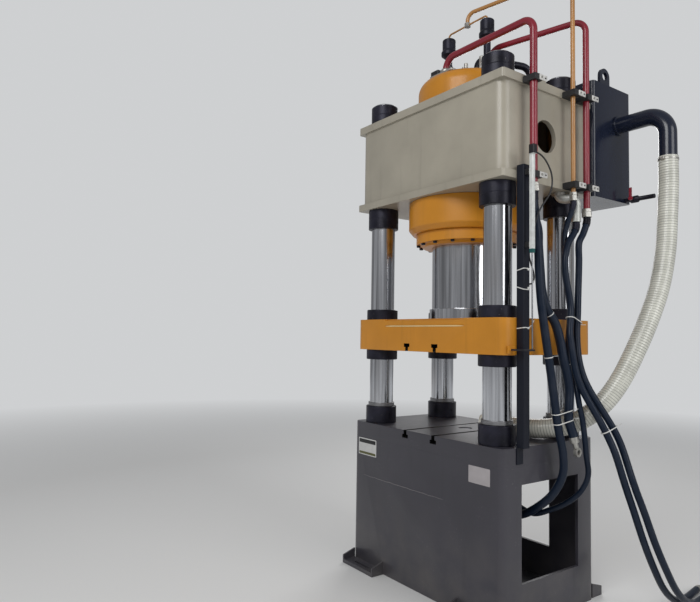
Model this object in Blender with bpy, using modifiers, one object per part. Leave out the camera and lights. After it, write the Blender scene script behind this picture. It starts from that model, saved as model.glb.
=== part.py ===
"""Four-column hydraulic press with a rear oil tank, pipes and hoses.

The frame is metres with +Z up. The origin is on the floor under the middle
of the bed, X runs along the front face and the front looks towards -Y.
"""
import math

import bmesh
import bpy
from mathutils import Matrix, Vector

# Fits and facets
GAP = 0.0003
CUT = 0.02
WELD = 0.002
SEGMENTS = 20
FINE_SEGMENTS = 32
CORNER_STEPS = 3
PIPE_SIDES = 2

# Width and depth of the bed, slide and crown, and where their columns stand
PRESS_W = 1.30
PRESS_D = 0.81
SIDE = PRESS_W / 2
COLUMN_INSET_X = 0.14
COLUMN_INSET_Y = 0.1175
COLUMN_PITCH_X = PRESS_W - 2 * COLUMN_INSET_X
COLUMN_PITCH_Y = PRESS_D - 2 * COLUMN_INSET_Y

# Bed and table
BED_W = PRESS_W
BED_D = PRESS_D
BED_H = 0.94
BED_CORNER = 0.04
BED_WALL = 0.02
TABLE_PLATE = 0.10
WINDOW_W = 0.50
WINDOW_Z = 0.22
WINDOW_H = 0.52
REAR_WINDOW_W = 0.70
EJECTOR_HOLE_D = 0.09

# T-slots, cut front to back in the table and the slide
SLOT_PITCH = 0.25
SLOT_MOUTH = 0.028
SLOT_POCKET = 0.054
SLOT_POCKET_H = 0.022
SLOT_DEPTH = 0.048

# Feet welded to the bed
FOOT_W = 0.32
FOOT_D = 0.093
FOOT_T = 0.025
FOOT_INSET = 0.01
GUSSET_T = 0.012
GUSSET_WALL_H = 0.082
GUSSET_TIP_H = 0.052
FOOT_SLOT_W = 0.15
FOOT_SLOT_D = 0.022

# Columns and their nuts
COLUMN_D = 0.16
COLUMN_CHAMFER = 0.006
NUT_D = 0.205
TABLE_NUT_H = 0.115
NUT_CHAMFER = 0.008
COLLAR_D = 0.176
COLLAR_H = 0.018
CROWN_NUT_H = 0.133
TOP_NUT_D = 0.185
TOP_NUT_H = 0.13
COLUMN_STUB = 0.012
LOCK_COLLAR_D = 0.19
LOCK_COLLAR_H = 0.07

# Crown
CROWN_W = PRESS_W
CROWN_D = PRESS_D
CROWN_Z = 2.39
CROWN_H = 0.595
CROWN_LIP = 0.015
CROWN_TOP_PLATE = 0.05
CROWN_BOTTOM_PLATE = 0.045
CROWN_CORNER = 0.06
CROWN_WALL = 0.03
SIDE_HOLE_D = 0.19
SIDE_HOLE_Y = -0.02
SIDE_HOLE_Z = 0.29
LUG_L = 0.09
LUG_H = 0.05
LUG_T = 0.025
LUG_Y = -0.065

# Slide
SLIDE_W = PRESS_W
SLIDE_SETBACK = 0.005
SLIDE_D = PRESS_D - 2 * SLIDE_SETBACK
SLIDE_Z = 1.43
SLIDE_H = 0.202
SLIDE_CORNER = 0.06
POCKET_GAP_X0 = 0.17
POCKET_GAP_X1 = 0.145
POCKET_X0 = POCKET_GAP_X0 - COLUMN_PITCH_X / 2
POCKET_X1 = COLUMN_PITCH_X / 2 - POCKET_GAP_X1
POCKET_DROP = 0.010
POCKET_D = 0.025
GROOVE_Z = 0.157
GROOVE_H = 0.005
GROOVE_D = 0.004
BUSH_D = 0.21
BUSH_UPPER_H = 0.068
BUSH_LOWER_H = 0.066
BUSH_WALL = 0.018

# Main cylinder
ROD_D = 0.44
BORE_D = 0.50
DRUM_D = 0.75
DRUM_H = 0.205
DRUM_CHAMFER = 0.03
BARREL_D = 0.64
HEAD_TOP_Z = 3.20
HEAD_SHOULDER = 0.08
HEAD_WALL = 0.12
GLAND_D = 0.65
GLAND_H = 0.083
GLAND_LIP_D = 0.56
GLAND_LIP_H = 0.017
GLAND_SPIGOT_H = 0.045
PISTON_H = 0.12
ROD_RING_D = 0.47
ROD_RING_H = 0.068
ROD_RING_EDGE = 0.004
STROKE_DOWN = 0.27
STROKE_UP = 0.30
STROKE_SPARE = 0.012

# Ejector under the table
EJECTOR_BARREL_D = 0.20
EJECTOR_BORE_D = 0.13
EJECTOR_FLANGE_D = 0.30
EJECTOR_FLANGE_H = 0.03
EJECTOR_H = 0.42
EJECTOR_BASE = 0.04
EJECTOR_ROD_D = 0.07
EJECTOR_PISTON_H = 0.05
EJECTOR_STROKE = 0.15
EJECTOR_DROP = 0.004
PORT_D = 0.05
PORT_OUT = 0.03
PORT_RISE = 0.1803
LOW_PORT_RISE = 0.0503
PORT_Y = 0.05
EJECTOR_Z = BED_H - TABLE_PLATE - GAP - EJECTOR_H
PORT_AT = (EJECTOR_BARREL_D / 2 + PORT_OUT, PORT_Y, EJECTOR_Z + PORT_RISE)
LOW_PORT_AT = (EJECTOR_BARREL_D / 2 + PORT_OUT, -PORT_Y, EJECTOR_Z + LOW_PORT_RISE)

# Oil tank behind the crown
TANK_SHORT = 0.05
TANK_BACK = 0.025
TANK_W = PRESS_W - TANK_SHORT
TANK_X1 = SIDE
TANK_Y0 = CROWN_D / 2 + TANK_BACK
TANK_D = 0.41
TANK_Z = 2.40
TANK_H = 0.73
TANK_WALL = 0.008
TANK_CORNER = 0.02
TANK_RAIL_W = 0.10
TANK_RAIL_X = 0.42
TANK_RAIL_Z0 = 0.05
TANK_RAIL_H = 0.50
EYE_W = 0.105
EYE_H = 0.165
EYE_T = 0.02
EYE_HOLE_D = 0.055
EYE_INSET = 0.09
EYE_BACK = 0.05
EYE_X = SIDE - EYE_INSET
TANK_PORT_Y = 0.70
TANK_PORT_Z = 2.891
TANK_PORT_D = 0.085
OUTLET_D = 0.102
OUTLET_OUT = 0.317
OUTLET_REACH = TANK_X1 + OUTLET_OUT
OUTLET_BEND = 0.13
OUTLET_END_Z = 2.62
OUTLET_FLANGE_D = 0.125
OUTLET_FLANGE_T = 0.015
DRAIN_Y = 0.78
DRAIN_Z = 2.418
DRAIN_D = 0.028
DRAIN_LENGTH = 0.19
DRAIN_BODY_D = 0.045
DRAIN_BODY_X = 0.03
DRAIN_BODY_L = 0.06
DRAIN_STEM_D = 0.016
DRAIN_STEM_H = 0.02
LEVER_L = 0.068
LEVER_W = 0.018
LEVER_T = 0.006
LEVER_HUB_D = 0.026

# Pipes on the right-hand side
PIPE_OUT = 0.05
PIPE_X = SIDE + PIPE_OUT
PIPE_A_D = 0.042
PIPE_A_Y = -0.214
PIPE_A_TOP = 3.298
PIPE_A_END = 2.33
PIPE_A_FOOT_X = 0.003
PIPE_A_RISE = 0.017
PIPE_B_D = 0.037
PIPE_B_Y = 0.275
PIPE_B_TOP = 3.437
PIPE_B_END = 2.25
PIPE_B_FOOT = (0.09, 0.12)
PIPE_C_D = 0.026
PIPE_C_Y = 0.145
PIPE_C_TOP = 3.68
PIPE_C_END = 2.33
PIPE_C_BEND = 0.05
PIPE_BEND = 0.075
FOOT_BLOCK = (0.20, 0.10, 0.015)

# Pipe clamps on the crown's right-hand edges
CLAMP_OUT = 0.085
CLAMP_W = 0.064
CLAMP_H = 0.035
CLAMP_RAIL_T = 0.008
UPPER_CLAMP_Z = 2.950
LOWER_CLAMP_Z = 2.410

# Filling valves and the pipe from the tank on the cylinder head
VALVE_X = 0.172
VALVE_TOP_Z = 3.566
VALVE_D = 0.09
VALVE_STEM_D = 0.045
VALVE_BASE_D = 0.12
VALVE_BASE_H = 0.03
VALVE_COLLAR_D = 0.105
VALVE_CUP_H = 0.075
CROSSOVER_D = 0.012
CROSSOVER_RISE = 0.035
FILL_PIPE_D = 0.05
FILL_PIPE_START = (-0.02, 0.12)
FILL_PIPE_TOP = 3.42
FILL_PIPE_TANK = (0.10, 0.53)
VENT_D = 0.033
VENT_XY = (0.195, -0.075)
VENT_TOP_Z = 3.30

# Sensor post, transducer and its arm
POST_SIZE = 0.05
POST_WALL = 0.004
POST_Y = -0.2725
POST_TOP_Z = 2.46
POST_END_Z = 0.942
POST_PLATE_H = 0.09
POST_PLATE_T = 0.006
SENSOR_W = 0.022
SENSOR_Z0 = 1.975
SENSOR_Z1 = 2.508
SENSOR_HEAD_H = 0.048
SENSOR_HEAD_W = 0.032
SENSOR_ROD_D = 0.008
SENSOR_BORE_D = 0.010
SENSOR_GRIP = 0.003
SENSOR_SPARE = 0.002
SENSOR_STANDOFF = 0.030
SENSOR_FOOT_H = 0.03
SENSOR_Y = -0.28
ARM_Z = 1.46
ARM_T = 0.01
ARM_Y = -0.345
ARM_W = 0.05

# Elbow under the crown
ELBOW_D = 0.056
ELBOW_INSET = 0.065
ELBOW_OUT = 0.029
ELBOW_BACK = 0.1225
ELBOW_START = (SIDE - ELBOW_INSET, COLUMN_PITCH_Y / 2 - ELBOW_BACK)
ELBOW_END = (SIDE + ELBOW_OUT, 0.200, 2.205)
ELBOW_LEVEL = 2.348
ELBOW_BEND = 0.04

# Hoses: diameters and the points that they pass, x from the press's right side
SUCTION_D = 0.112
SUCTION_STEP = 0.11
SUCTION_ROUTE = [
    (0.317, 0.700, 2.6197), (0.317, 0.700, 2.45), (0.316, 0.685, 2.25), (0.315, 0.660, 2.05),
    (0.305, 0.607, 1.84), (0.285, 0.525, 1.65), (0.255, 0.435, 1.47), (0.215, 0.345, 1.30),
    (0.165, 0.265, 1.175), (0.095, 0.190, 1.085), (0.000, 0.120, 1.027), (-0.110, 0.065, 1.002),
    (-0.220, 0.030, 0.997), (-0.340, -0.010, 0.997), (-0.460, -0.060, 0.997),
]
HOSE_STEP = 0.075
END_STRAIGHT = 0.012
FRONT_HOSE_D = 0.045
FRONT_HOSE_ROUTE = [
    (0.050, -0.214, 2.3297), (0.050, -0.214, 2.280), (0.055, -0.185, 2.057), (0.060, -0.183, 1.893),
    (0.065, -0.173, 1.730), (0.070, -0.154, 1.595), (0.075, -0.131, 1.461), (0.080, -0.104, 1.310),
    (0.085, -0.080, 1.164), (0.085, -0.050, 1.028), (0.080, -0.004, 0.904), (0.072, 0.012, 0.800),
    (0.045, 0.008, 0.720), (0.000, -0.008, 0.645), (-0.065, -0.030, 0.580),
]
LOOSE_HOSE_D = 0.050
LOOSE_HOSE_ROUTE = [
    (-0.050, -0.165, 2.3897), (-0.050, -0.165, 2.330), (-0.005, -0.115, 2.156), (0.018, -0.132, 2.028),
    (0.032, -0.137, 1.898), (0.034, -0.123, 1.778), (0.040, -0.087, 1.680), (0.055, -0.037, 1.609),
    (0.070, -0.014, 1.516), (0.083, -0.005, 1.417), (0.090, 0.020, 1.329), (0.095, 0.034, 1.241),
    (0.099, 0.025, 1.165), (0.102, 0.016, 1.084), (0.112, 0.023, 1.036),
]
ELBOW_HOSE_D = 0.038
ELBOW_HOSE_ROUTE = [
    (0.029, 0.200, 2.2047), (0.029, 0.200, 2.172), (0.033, 0.162, 2.122), (0.037, 0.118, 2.080),
    (0.042, 0.085, 2.020), (0.045, 0.070, 1.970), (0.050, 0.068, 1.885), (0.060, 0.078, 1.794),
    (0.070, 0.085, 1.707), (0.080, 0.069, 1.631), (0.092, 0.045, 1.555), (0.105, 0.043, 1.469),
    (0.115, 0.049, 1.387), (0.130, 0.058, 1.312), (0.150, 0.080, 1.237), (0.180, 0.104, 1.164),
    (0.215, 0.135, 1.079), (0.250, 0.165, 0.983), (0.285, 0.172, 0.900), (0.315, 0.205, 0.750),
    (0.335, 0.258, 0.600), (0.350, 0.322, 0.440), (0.360, 0.402, 0.290), (0.360, 0.500, 0.160),
    (0.350, 0.615, 0.075), (0.335, 0.735, 0.031), (0.320, 0.850, 0.0197), (0.305, 0.960, 0.0195),
]
REAR_HOSE_D = 0.038
REAR_HOSE_ROUTE = [
    (0.050, 0.275, 2.2497), (0.050, 0.275, 2.210), (0.050, 0.240, 2.140), (0.050, 0.197, 2.076),
    (0.050, 0.196, 1.972), (0.050, 0.191, 1.868), (0.055, 0.178, 1.764), (0.062, 0.163, 1.660),
    (0.070, 0.144, 1.574), (0.082, 0.129, 1.489), (0.100, 0.117, 1.405), (0.120, 0.120, 1.328),
    (0.150, 0.125, 1.259), (0.183, 0.145, 1.189), (0.218, 0.179, 1.109), (0.255, 0.214, 1.019),
    (0.285, 0.235, 0.930), (0.350, 0.234, 0.750), (0.376, 0.288, 0.600), (0.396, 0.352, 0.440),
    (0.412, 0.432, 0.290), (0.416, 0.530, 0.160), (0.410, 0.645, 0.075), (0.398, 0.765, 0.031),
    (0.384, 0.878, 0.0197), (0.370, 0.988, 0.0195),
]
PILOT_HOSE_D = 0.031
PILOT_HOSE_ROUTE = [
    (0.050, 0.145, 2.3297), (0.050, 0.145, 2.300), (0.032, 0.147, 2.250), (0.011, 0.141, 2.190),
    (-0.001, 0.134, 2.130), (0.000, 0.131, 2.080), (0.012, 0.117, 2.006), (0.020, 0.108, 1.889),
    (0.029, 0.115, 1.797), (0.035, 0.125, 1.711), (0.040, 0.117, 1.619), (0.045, 0.097, 1.516),
    (0.050, 0.100, 1.415), (0.068, 0.107, 1.320), (0.105, 0.085, 1.251), (0.125, 0.083, 1.154),
    (0.137, 0.092, 1.078), (0.142, 0.107, 0.969), (0.137, 0.126, 0.885), (0.122, 0.165, 0.765),
    (0.078, 0.155, 0.665), (0.005, 0.122, 0.592), (-0.070, 0.085, 0.545),
]

# The last points of the two hoses that end at the ejector, from their ports
LOW_PORT_ROUTE = [
    (0.375, 0.007, 0.055), (0.270, 0.000, 0.018), (0.150, 0.000, 0.002), (0.070, 0.000, 0.000),
    (0.0003, 0.000, 0.000),
]
PORT_ROUTE = [
    (0.360, 0.002, -0.092), (0.250, 0.000, -0.070), (0.160, 0.000, -0.025), (0.070, 0.000, 0.000),
    (0.0003, 0.000, 0.000),
]
CABLE_D = 0.009
CABLE_STEP = 0.027
CABLE_ROUTE = [
    (0.092, -0.2635, 2.521), (0.093, -0.246, 2.521), (0.098, -0.205, 2.508), (0.103, -0.165, 2.472),
    (0.107, -0.136, 2.420), (0.107, -0.130, 2.365), (0.105, -0.146, 2.312), (0.100, -0.174, 2.272),
    (0.092, -0.200, 2.235), (0.081, -0.219, 2.190), (0.065, -0.2265, 2.130), (0.048, -0.2275, 2.070),
    (0.034, -0.2275, 2.010), (0.028, -0.224, 1.968), (0.026, -0.2055, 1.926), (0.026, -0.1885, 1.890),
    (0.026, -0.181, 1.856), (0.026, -0.1861, 1.835), (0.026, -0.2007, 1.820), (0.026, -0.2290, 1.815),
    (0.026, -0.2472, 1.815),
]
FITTING_L = 0.11
FITTING_HEX_L = 0.03
BANJO_D = 0.05
BANJO_HOLE_D = 0.028
BANJO_T = 0.02


def new_collection(name):
    """A fresh collection of the scene."""
    collection = bpy.data.collections.new(name)
    bpy.context.scene.collection.children.link(collection)
    return collection


for old in list(bpy.data.objects):
    bpy.data.objects.remove(old, do_unlink=True)

PARTS = new_collection("hydraulic_press")
CUTTERS = new_collection("press_cutters")


def paint(name, colour, roughness, metallic=0.0):
    """A Principled material with one colour."""
    material = bpy.data.materials.new(name)
    material.use_nodes = True
    shader = material.node_tree.nodes["Principled BSDF"]
    shader.inputs["Base Color"].default_value = (*colour, 1.0)
    shader.inputs["Roughness"].default_value = roughness
    shader.inputs["Metallic"].default_value = metallic
    material.diffuse_color = (*colour, 1.0)
    return material


BED_PAINT = paint("dark_blue_grey_enamel", (0.048, 0.048, 0.062), 0.45)
CROWN_PAINT = paint("warm_grey_enamel", (0.42, 0.39, 0.33), 0.4)
ORANGE_PAINT = paint("orange_yellow_enamel", (0.62, 0.25, 0.025), 0.4)
BLACK_STEEL = paint("blackened_steel", (0.016, 0.016, 0.024), 0.4, 0.3)
CHROME = paint("hard_chrome", (0.72, 0.73, 0.75), 0.15, 1.0)
TANK_PAINT = paint("navy_enamel", (0.022, 0.030, 0.060), 0.3)
RED_PAINT = paint("crimson_enamel", (0.24, 0.02, 0.035), 0.3)
OCHRE_PAINT = paint("ochre_enamel", (0.45, 0.22, 0.06), 0.35)
ZINC = paint("zinc_plate", (0.60, 0.60, 0.57), 0.35, 0.9)
PALE_ALLOY = paint("pale_anodised_alloy", (0.58, 0.60, 0.58), 0.4, 0.4)
BLACK_POLYMER = paint("black_polymer", (0.012, 0.012, 0.014), 0.5)
BLACK_RUBBER = paint("black_hose_rubber", (0.014, 0.016, 0.024), 0.45)
CLEAR_HOSE = paint("milky_reinforced_hose", (0.66, 0.66, 0.60), 0.35)


def place(obj, collection, material=None):
    """Link an object and give it its material."""
    collection.objects.link(obj)
    if material is not None:
        obj.data.materials.append(material)
    if collection is CUTTERS:
        obj.hide_render = True
        obj.display_type = "WIRE"
    return obj


def mesh_object(name, bm, material=None, collection=PARTS, smooth=False):
    """Turn a bmesh into an object whose origin is where its mesh was drawn from."""
    bmesh.ops.recalc_face_normals(bm, faces=bm.faces)
    mesh = bpy.data.meshes.new(name)
    bm.to_mesh(mesh)
    bm.free()
    if smooth:
        mesh.shade_smooth()
        mesh.set_sharp_from_angle(angle=math.radians(40))
    return place(bpy.data.objects.new(name, mesh), collection, material)


def block(name, low, high, radius=0.0, material=None, collection=PARTS):
    """A box between two corners, with its upright edges rounded."""
    low, high = Vector(low), Vector(high)
    bm = bmesh.new()
    bmesh.ops.create_cube(bm, size=1.0)
    bmesh.ops.scale(bm, vec=high - low, verts=bm.verts)
    if radius > 0.0:
        upright = [e for e in bm.edges if abs(e.verts[0].co.z - e.verts[1].co.z) > 1e-6]
        bmesh.ops.bevel(bm, geom=upright, offset=radius, segments=CORNER_STEPS, profile=0.5, affect="EDGES")
    obj = mesh_object(name, bm, material, collection)
    obj.location = (low + high) / 2
    return obj


def round_bar(name, start, end, diameter, material=None, collection=PARTS, segments=SEGMENTS):
    """A cylinder from one point to another."""
    start, end = Vector(start), Vector(end)
    bm = bmesh.new()
    bmesh.ops.create_cone(bm, cap_ends=True, segments=segments, radius1=diameter / 2,
                          radius2=diameter / 2, depth=(end - start).length)
    obj = mesh_object(name, bm, material, collection, smooth=True)
    obj.location = (start + end) / 2
    obj.rotation_euler = (end - start).to_track_quat("Z", "Y").to_euler()
    return obj


def turned(name, profile, at, material=None, ring=False, segments=SEGMENTS, axis=(0, 0, 1)):
    """A turned piece: (radius, height) points down the outer side, spun about the axis."""
    mesh = bpy.data.meshes.new(name)
    corners = [(radius, 0.0, height) for radius, height in profile]
    edges = [(i, i + 1) for i in range(len(corners) - 1)]
    if ring:
        edges.append((len(corners) - 1, 0))
    mesh.from_pydata(corners, edges, [])
    obj = place(bpy.data.objects.new(name, mesh), PARTS, material)
    screw = obj.modifiers.new("spin", "SCREW")
    screw.steps = segments
    screw.render_steps = segments
    screw.use_smooth_shade = True
    screw.use_merge_vertices = True
    screw.merge_threshold = 0.00001
    obj.location = at
    obj.rotation_euler = Vector(axis).to_track_quat("Z", "Y").to_euler()
    return obj


def combine(target, tool, operation):
    """A Boolean modifier on the target."""
    boolean = target.modifiers.new(tool.name, "BOOLEAN")
    boolean.operation = operation
    boolean.solver = "EXACT"
    boolean.object = tool


def cut(target, *tools):
    for tool in tools:
        combine(target, tool, "DIFFERENCE")


def weld(target, *tools):
    for tool in tools:
        combine(target, tool, "UNION")


def arc(centre, radius, start, end, count):
    """Points on an arc in the (radius, height) plane, angles in degrees."""
    angles = [math.radians(start + (end - start) * i / count) for i in range(count + 1)]
    return [(centre[0] + radius * math.cos(a), centre[1] + radius * math.sin(a)) for a in angles]


def bent_path(corners, bend, steps=6):
    """A pipe's centre line: straight runs joined by arcs of one bend radius."""
    corners = [Vector(c) for c in corners]
    path = [corners[0]]
    for before, corner, after in zip(corners, corners[1:], corners[2:]):
        back = (before - corner).normalized()
        ahead = (after - corner).normalized()
        half = math.acos(max(-1.0, min(1.0, back.dot(ahead)))) / 2
        reach = bend / math.tan(half)
        centre = corner + (back + ahead).normalized() * (bend / math.sin(half))
        first = corner + back * reach - centre
        normal = first.cross(corner + ahead * reach - centre).normalized()
        sweep = math.pi - 2 * half
        for i in range(steps + 1):
            path.append(centre + Matrix.Rotation(sweep * i / steps, 3, normal) @ first)
    path.append(corners[-1])
    return path


def smooth_path(route, step):
    """Points a step apart on a Catmull-Rom curve through the route."""
    route = [Vector(p) for p in route]
    ends = [route[0] * 2 - route[1]] + route + [route[-1] * 2 - route[-2]]
    dense = []
    for a, b, c, d in zip(ends, ends[1:], ends[2:], ends[3:]):
        for i in range(24):
            t = i / 24
            dense.append(0.5 * ((2 * b) + (c - a) * t + (2 * a - 5 * b + 4 * c - d) * t * t
                                + (3 * b - a - 3 * c + d) * t ** 3))
    dense.append(route[-1])
    lengths = [0.0]
    for p, q in zip(dense, dense[1:]):
        lengths.append(lengths[-1] + (q - p).length)
    count = max(2, round(lengths[-1] / step))
    path = []
    index = 0
    for k in range(count + 1):
        goal = lengths[-1] * k / count
        while index < len(dense) - 2 and lengths[index + 1] < goal:
            index += 1
        share = (goal - lengths[index]) / (lengths[index + 1] - lengths[index])
        path.append(dense[index].lerp(dense[index + 1], min(1.0, share)))
    ahead = (route[1] - route[0]).normalized() * END_STRAIGHT
    back = (route[-2] - route[-1]).normalized() * END_STRAIGHT
    return [path[0], path[0] + ahead] + path[1:-1] + [path[-1] + back, path[-1]]


def tube(name, path, diameter, material, sides=PIPE_SIDES):
    """A round bar along a path, as a poly curve with a bevel and filled caps."""
    curve = bpy.data.curves.new(name, "CURVE")
    curve.dimensions = "3D"
    curve.bevel_depth = diameter / 2
    curve.bevel_resolution = sides
    curve.use_fill_caps = True
    spline = curve.splines.new("POLY")
    spline.points.add(len(path) - 1)
    for point, spot in zip(spline.points, path):
        point.co = (*spot, 1.0)
    spline.use_smooth = True
    return place(bpy.data.objects.new(name, curve), PARTS, material)


def tube_mesh(curve_object):
    """Replace a tube's curve by its closed mesh, so that it can be cut or welded."""
    graph = bpy.context.evaluated_depsgraph_get()
    mesh = bpy.data.meshes.new_from_object(curve_object.evaluated_get(graph))
    bm = bmesh.new()
    bm.from_mesh(mesh)
    bmesh.ops.remove_doubles(bm, verts=bm.verts, dist=0.00001)
    bm.to_mesh(mesh)
    bm.free()
    name = curve_object.name
    obj = bpy.data.objects.new(name + "_solid", mesh)
    obj.matrix_world = curve_object.matrix_world
    PARTS.objects.link(obj)
    bpy.data.objects.remove(curve_object, do_unlink=True)
    obj.name = name
    return obj


def column_spots():
    """Each column's name and its place in plan."""
    for side_y, row in ((-1, "front"), (1, "rear")):
        for side_x, hand in ((-1, "left"), (1, "right")):
            yield f"{row}_{hand}", side_x * COLUMN_PITCH_X / 2, side_y * COLUMN_PITCH_Y / 2


def slot_cutters(label, depth, surface, inward):
    """Two T-slots that open at a surface and go in by the sign of inward."""
    tools = []
    for side in (-1, 1):
        x = side * SLOT_PITCH / 2
        far = surface + inward * SLOT_DEPTH
        lip = far - inward * SLOT_POCKET_H
        y = depth / 2 + CUT
        for part, width, ends in (("mouth", SLOT_MOUTH, (surface - inward * CUT, lip + inward * CUT / 4)),
                                  ("pocket", SLOT_POCKET, (lip, far))):
            tools.append(block(f"{label}_slot_{part}", (x - width / 2, -y, min(ends)),
                               (x + width / 2, y, max(ends)), collection=CUTTERS))
    return tools


def foot_shapes():
    """Plates and end gussets of the four feet, drawn as outlines seen from the side."""
    tools = []
    slots = []
    for side_y in (-1, 1):
        face = side_y * BED_D / 2
        tip = side_y * (BED_D / 2 + FOOT_D)
        root = face - side_y * WELD
        for side_x in (-1, 1):
            outer = side_x * (BED_W / 2 - FOOT_INSET)
            inner = outer - side_x * FOOT_W
            low = (min(outer, inner), min(root, tip), 0.0)
            high = (max(outer, inner), max(root, tip), FOOT_T)
            tools.append(block("foot_plate", low, high, collection=CUTTERS))
            for x in (low[0], high[0] - GUSSET_T):
                tools.append(gusset(x, root, tip))
            middle = (low[0] + high[0]) / 2
            slot_y = face + side_y * FOOT_D * 0.55
            slots.append(block("foot_slot", (middle - FOOT_SLOT_W / 2, slot_y - FOOT_SLOT_D / 2, -CUT),
                               (middle + FOOT_SLOT_W / 2, slot_y + FOOT_SLOT_D / 2, FOOT_T + CUT),
                               collection=CUTTERS))
    return tools, slots


def gusset(x, root, tip):
    """A four-sided end plate of a foot, high at the wall and low at its tip."""
    bm = bmesh.new()
    outline = [(root, WELD), (tip, WELD), (tip, GUSSET_TIP_H), (root, GUSSET_WALL_H)]
    face = bm.faces.new([bm.verts.new((x, y, z)) for y, z in outline])
    pushed = bmesh.ops.extrude_face_region(bm, geom=[face])
    moved = [v for v in pushed["geom"] if isinstance(v, bmesh.types.BMVert)]
    bmesh.ops.translate(bm, vec=(GUSSET_T, 0, 0), verts=moved)
    return mesh_object("foot_gusset", bm, collection=CUTTERS)


def build_bed():
    """Welded bed box, open at the top, and the slotted table plate that closes it."""
    seat = BED_H - TABLE_PLATE
    bed = block("bed", (-BED_W / 2, -BED_D / 2, 0), (BED_W / 2, BED_D / 2, seat - GAP),
                BED_CORNER, BED_PAINT)
    feet, foot_slots = foot_shapes()
    weld(bed, *feet)
    inside = block("bed_inside", (BED_WALL - BED_W / 2, BED_WALL - BED_D / 2, BED_WALL),
                   (BED_W / 2 - BED_WALL, BED_D / 2 - BED_WALL, seat + CUT), collection=CUTTERS)
    sides = block("bed_side_windows", (-BED_W / 2 - CUT, -WINDOW_W / 2, WINDOW_Z),
                  (BED_W / 2 + CUT, WINDOW_W / 2, WINDOW_Z + WINDOW_H), collection=CUTTERS)
    rear = block("bed_rear_window", (-REAR_WINDOW_W / 2, 0, WINDOW_Z),
                 (REAR_WINDOW_W / 2, BED_D / 2 + CUT, WINDOW_Z + WINDOW_H), collection=CUTTERS)
    cut(bed, inside, sides, rear, *foot_slots)
    table = block("table", (-BED_W / 2, -BED_D / 2, seat), (BED_W / 2, BED_D / 2, BED_H),
                  BED_CORNER, BED_PAINT)
    cut(table, *slot_cutters("table", BED_D, BED_H, -1))
    bottom = seat - CUT
    for name, x, y in column_spots():
        cut(table, round_bar(f"table_hole_{name}", (x, y, bottom), (x, y, BED_H + CUT),
                             COLUMN_D + 2 * GAP, collection=CUTTERS))
    cut(table, round_bar("ejector_hole", (0, 0, bottom), (0, 0, BED_H + CUT), EJECTOR_HOLE_D,
                         collection=CUTTERS))


def build_columns():
    """Columns with a collar under the table plate, and the nuts that clamp them."""
    top = CROWN_Z + CROWN_H + TOP_NUT_H + COLUMN_STUB
    plate_bottom = BED_H - TABLE_PLATE - GAP
    radius = COLUMN_D / 2
    for name, x, y in column_spots():
        outline = [(0, top), (radius - COLUMN_CHAMFER, top), (radius, top - COLUMN_CHAMFER),
                   (radius, plate_bottom), (LOCK_COLLAR_D / 2, plate_bottom),
                   (LOCK_COLLAR_D / 2, plate_bottom - LOCK_COLLAR_H), (0, plate_bottom - LOCK_COLLAR_H)]
        turned(f"{name}_column", outline, (x, y, 0), CHROME)
        bore = COLUMN_D + 2 * GAP
        low = BED_H + GAP
        high = low + TABLE_NUT_H
        nut = [(COLLAR_D / 2, high + COLLAR_H), (COLLAR_D / 2, high), (NUT_D / 2 - NUT_CHAMFER, high),
               (NUT_D / 2, high - NUT_CHAMFER), (NUT_D / 2, low), (bore / 2, low),
               (bore / 2, high + COLLAR_H)]
        turned(f"{name}_table_nut", nut, (x, y, 0), BLACK_STEEL, ring=True)
        high = CROWN_Z - GAP
        nut = [(NUT_D / 2, high), (NUT_D / 2, high - CROWN_NUT_H + NUT_CHAMFER),
               (NUT_D / 2 - NUT_CHAMFER, high - CROWN_NUT_H), (bore / 2, high - CROWN_NUT_H),
               (bore / 2, high)]
        turned(f"{name}_crown_nut", nut, (x, y, 0), BLACK_STEEL, ring=True)
        low = CROWN_Z + CROWN_H + GAP
        nut = [(TOP_NUT_D / 2 - NUT_CHAMFER, low + TOP_NUT_H),
               (TOP_NUT_D / 2, low + TOP_NUT_H - NUT_CHAMFER),
               (TOP_NUT_D / 2, low), (bore / 2, low), (bore / 2, low + TOP_NUT_H)]
        turned(f"{name}_top_nut", nut, (x, y, 0), BLACK_STEEL, ring=True)


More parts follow.
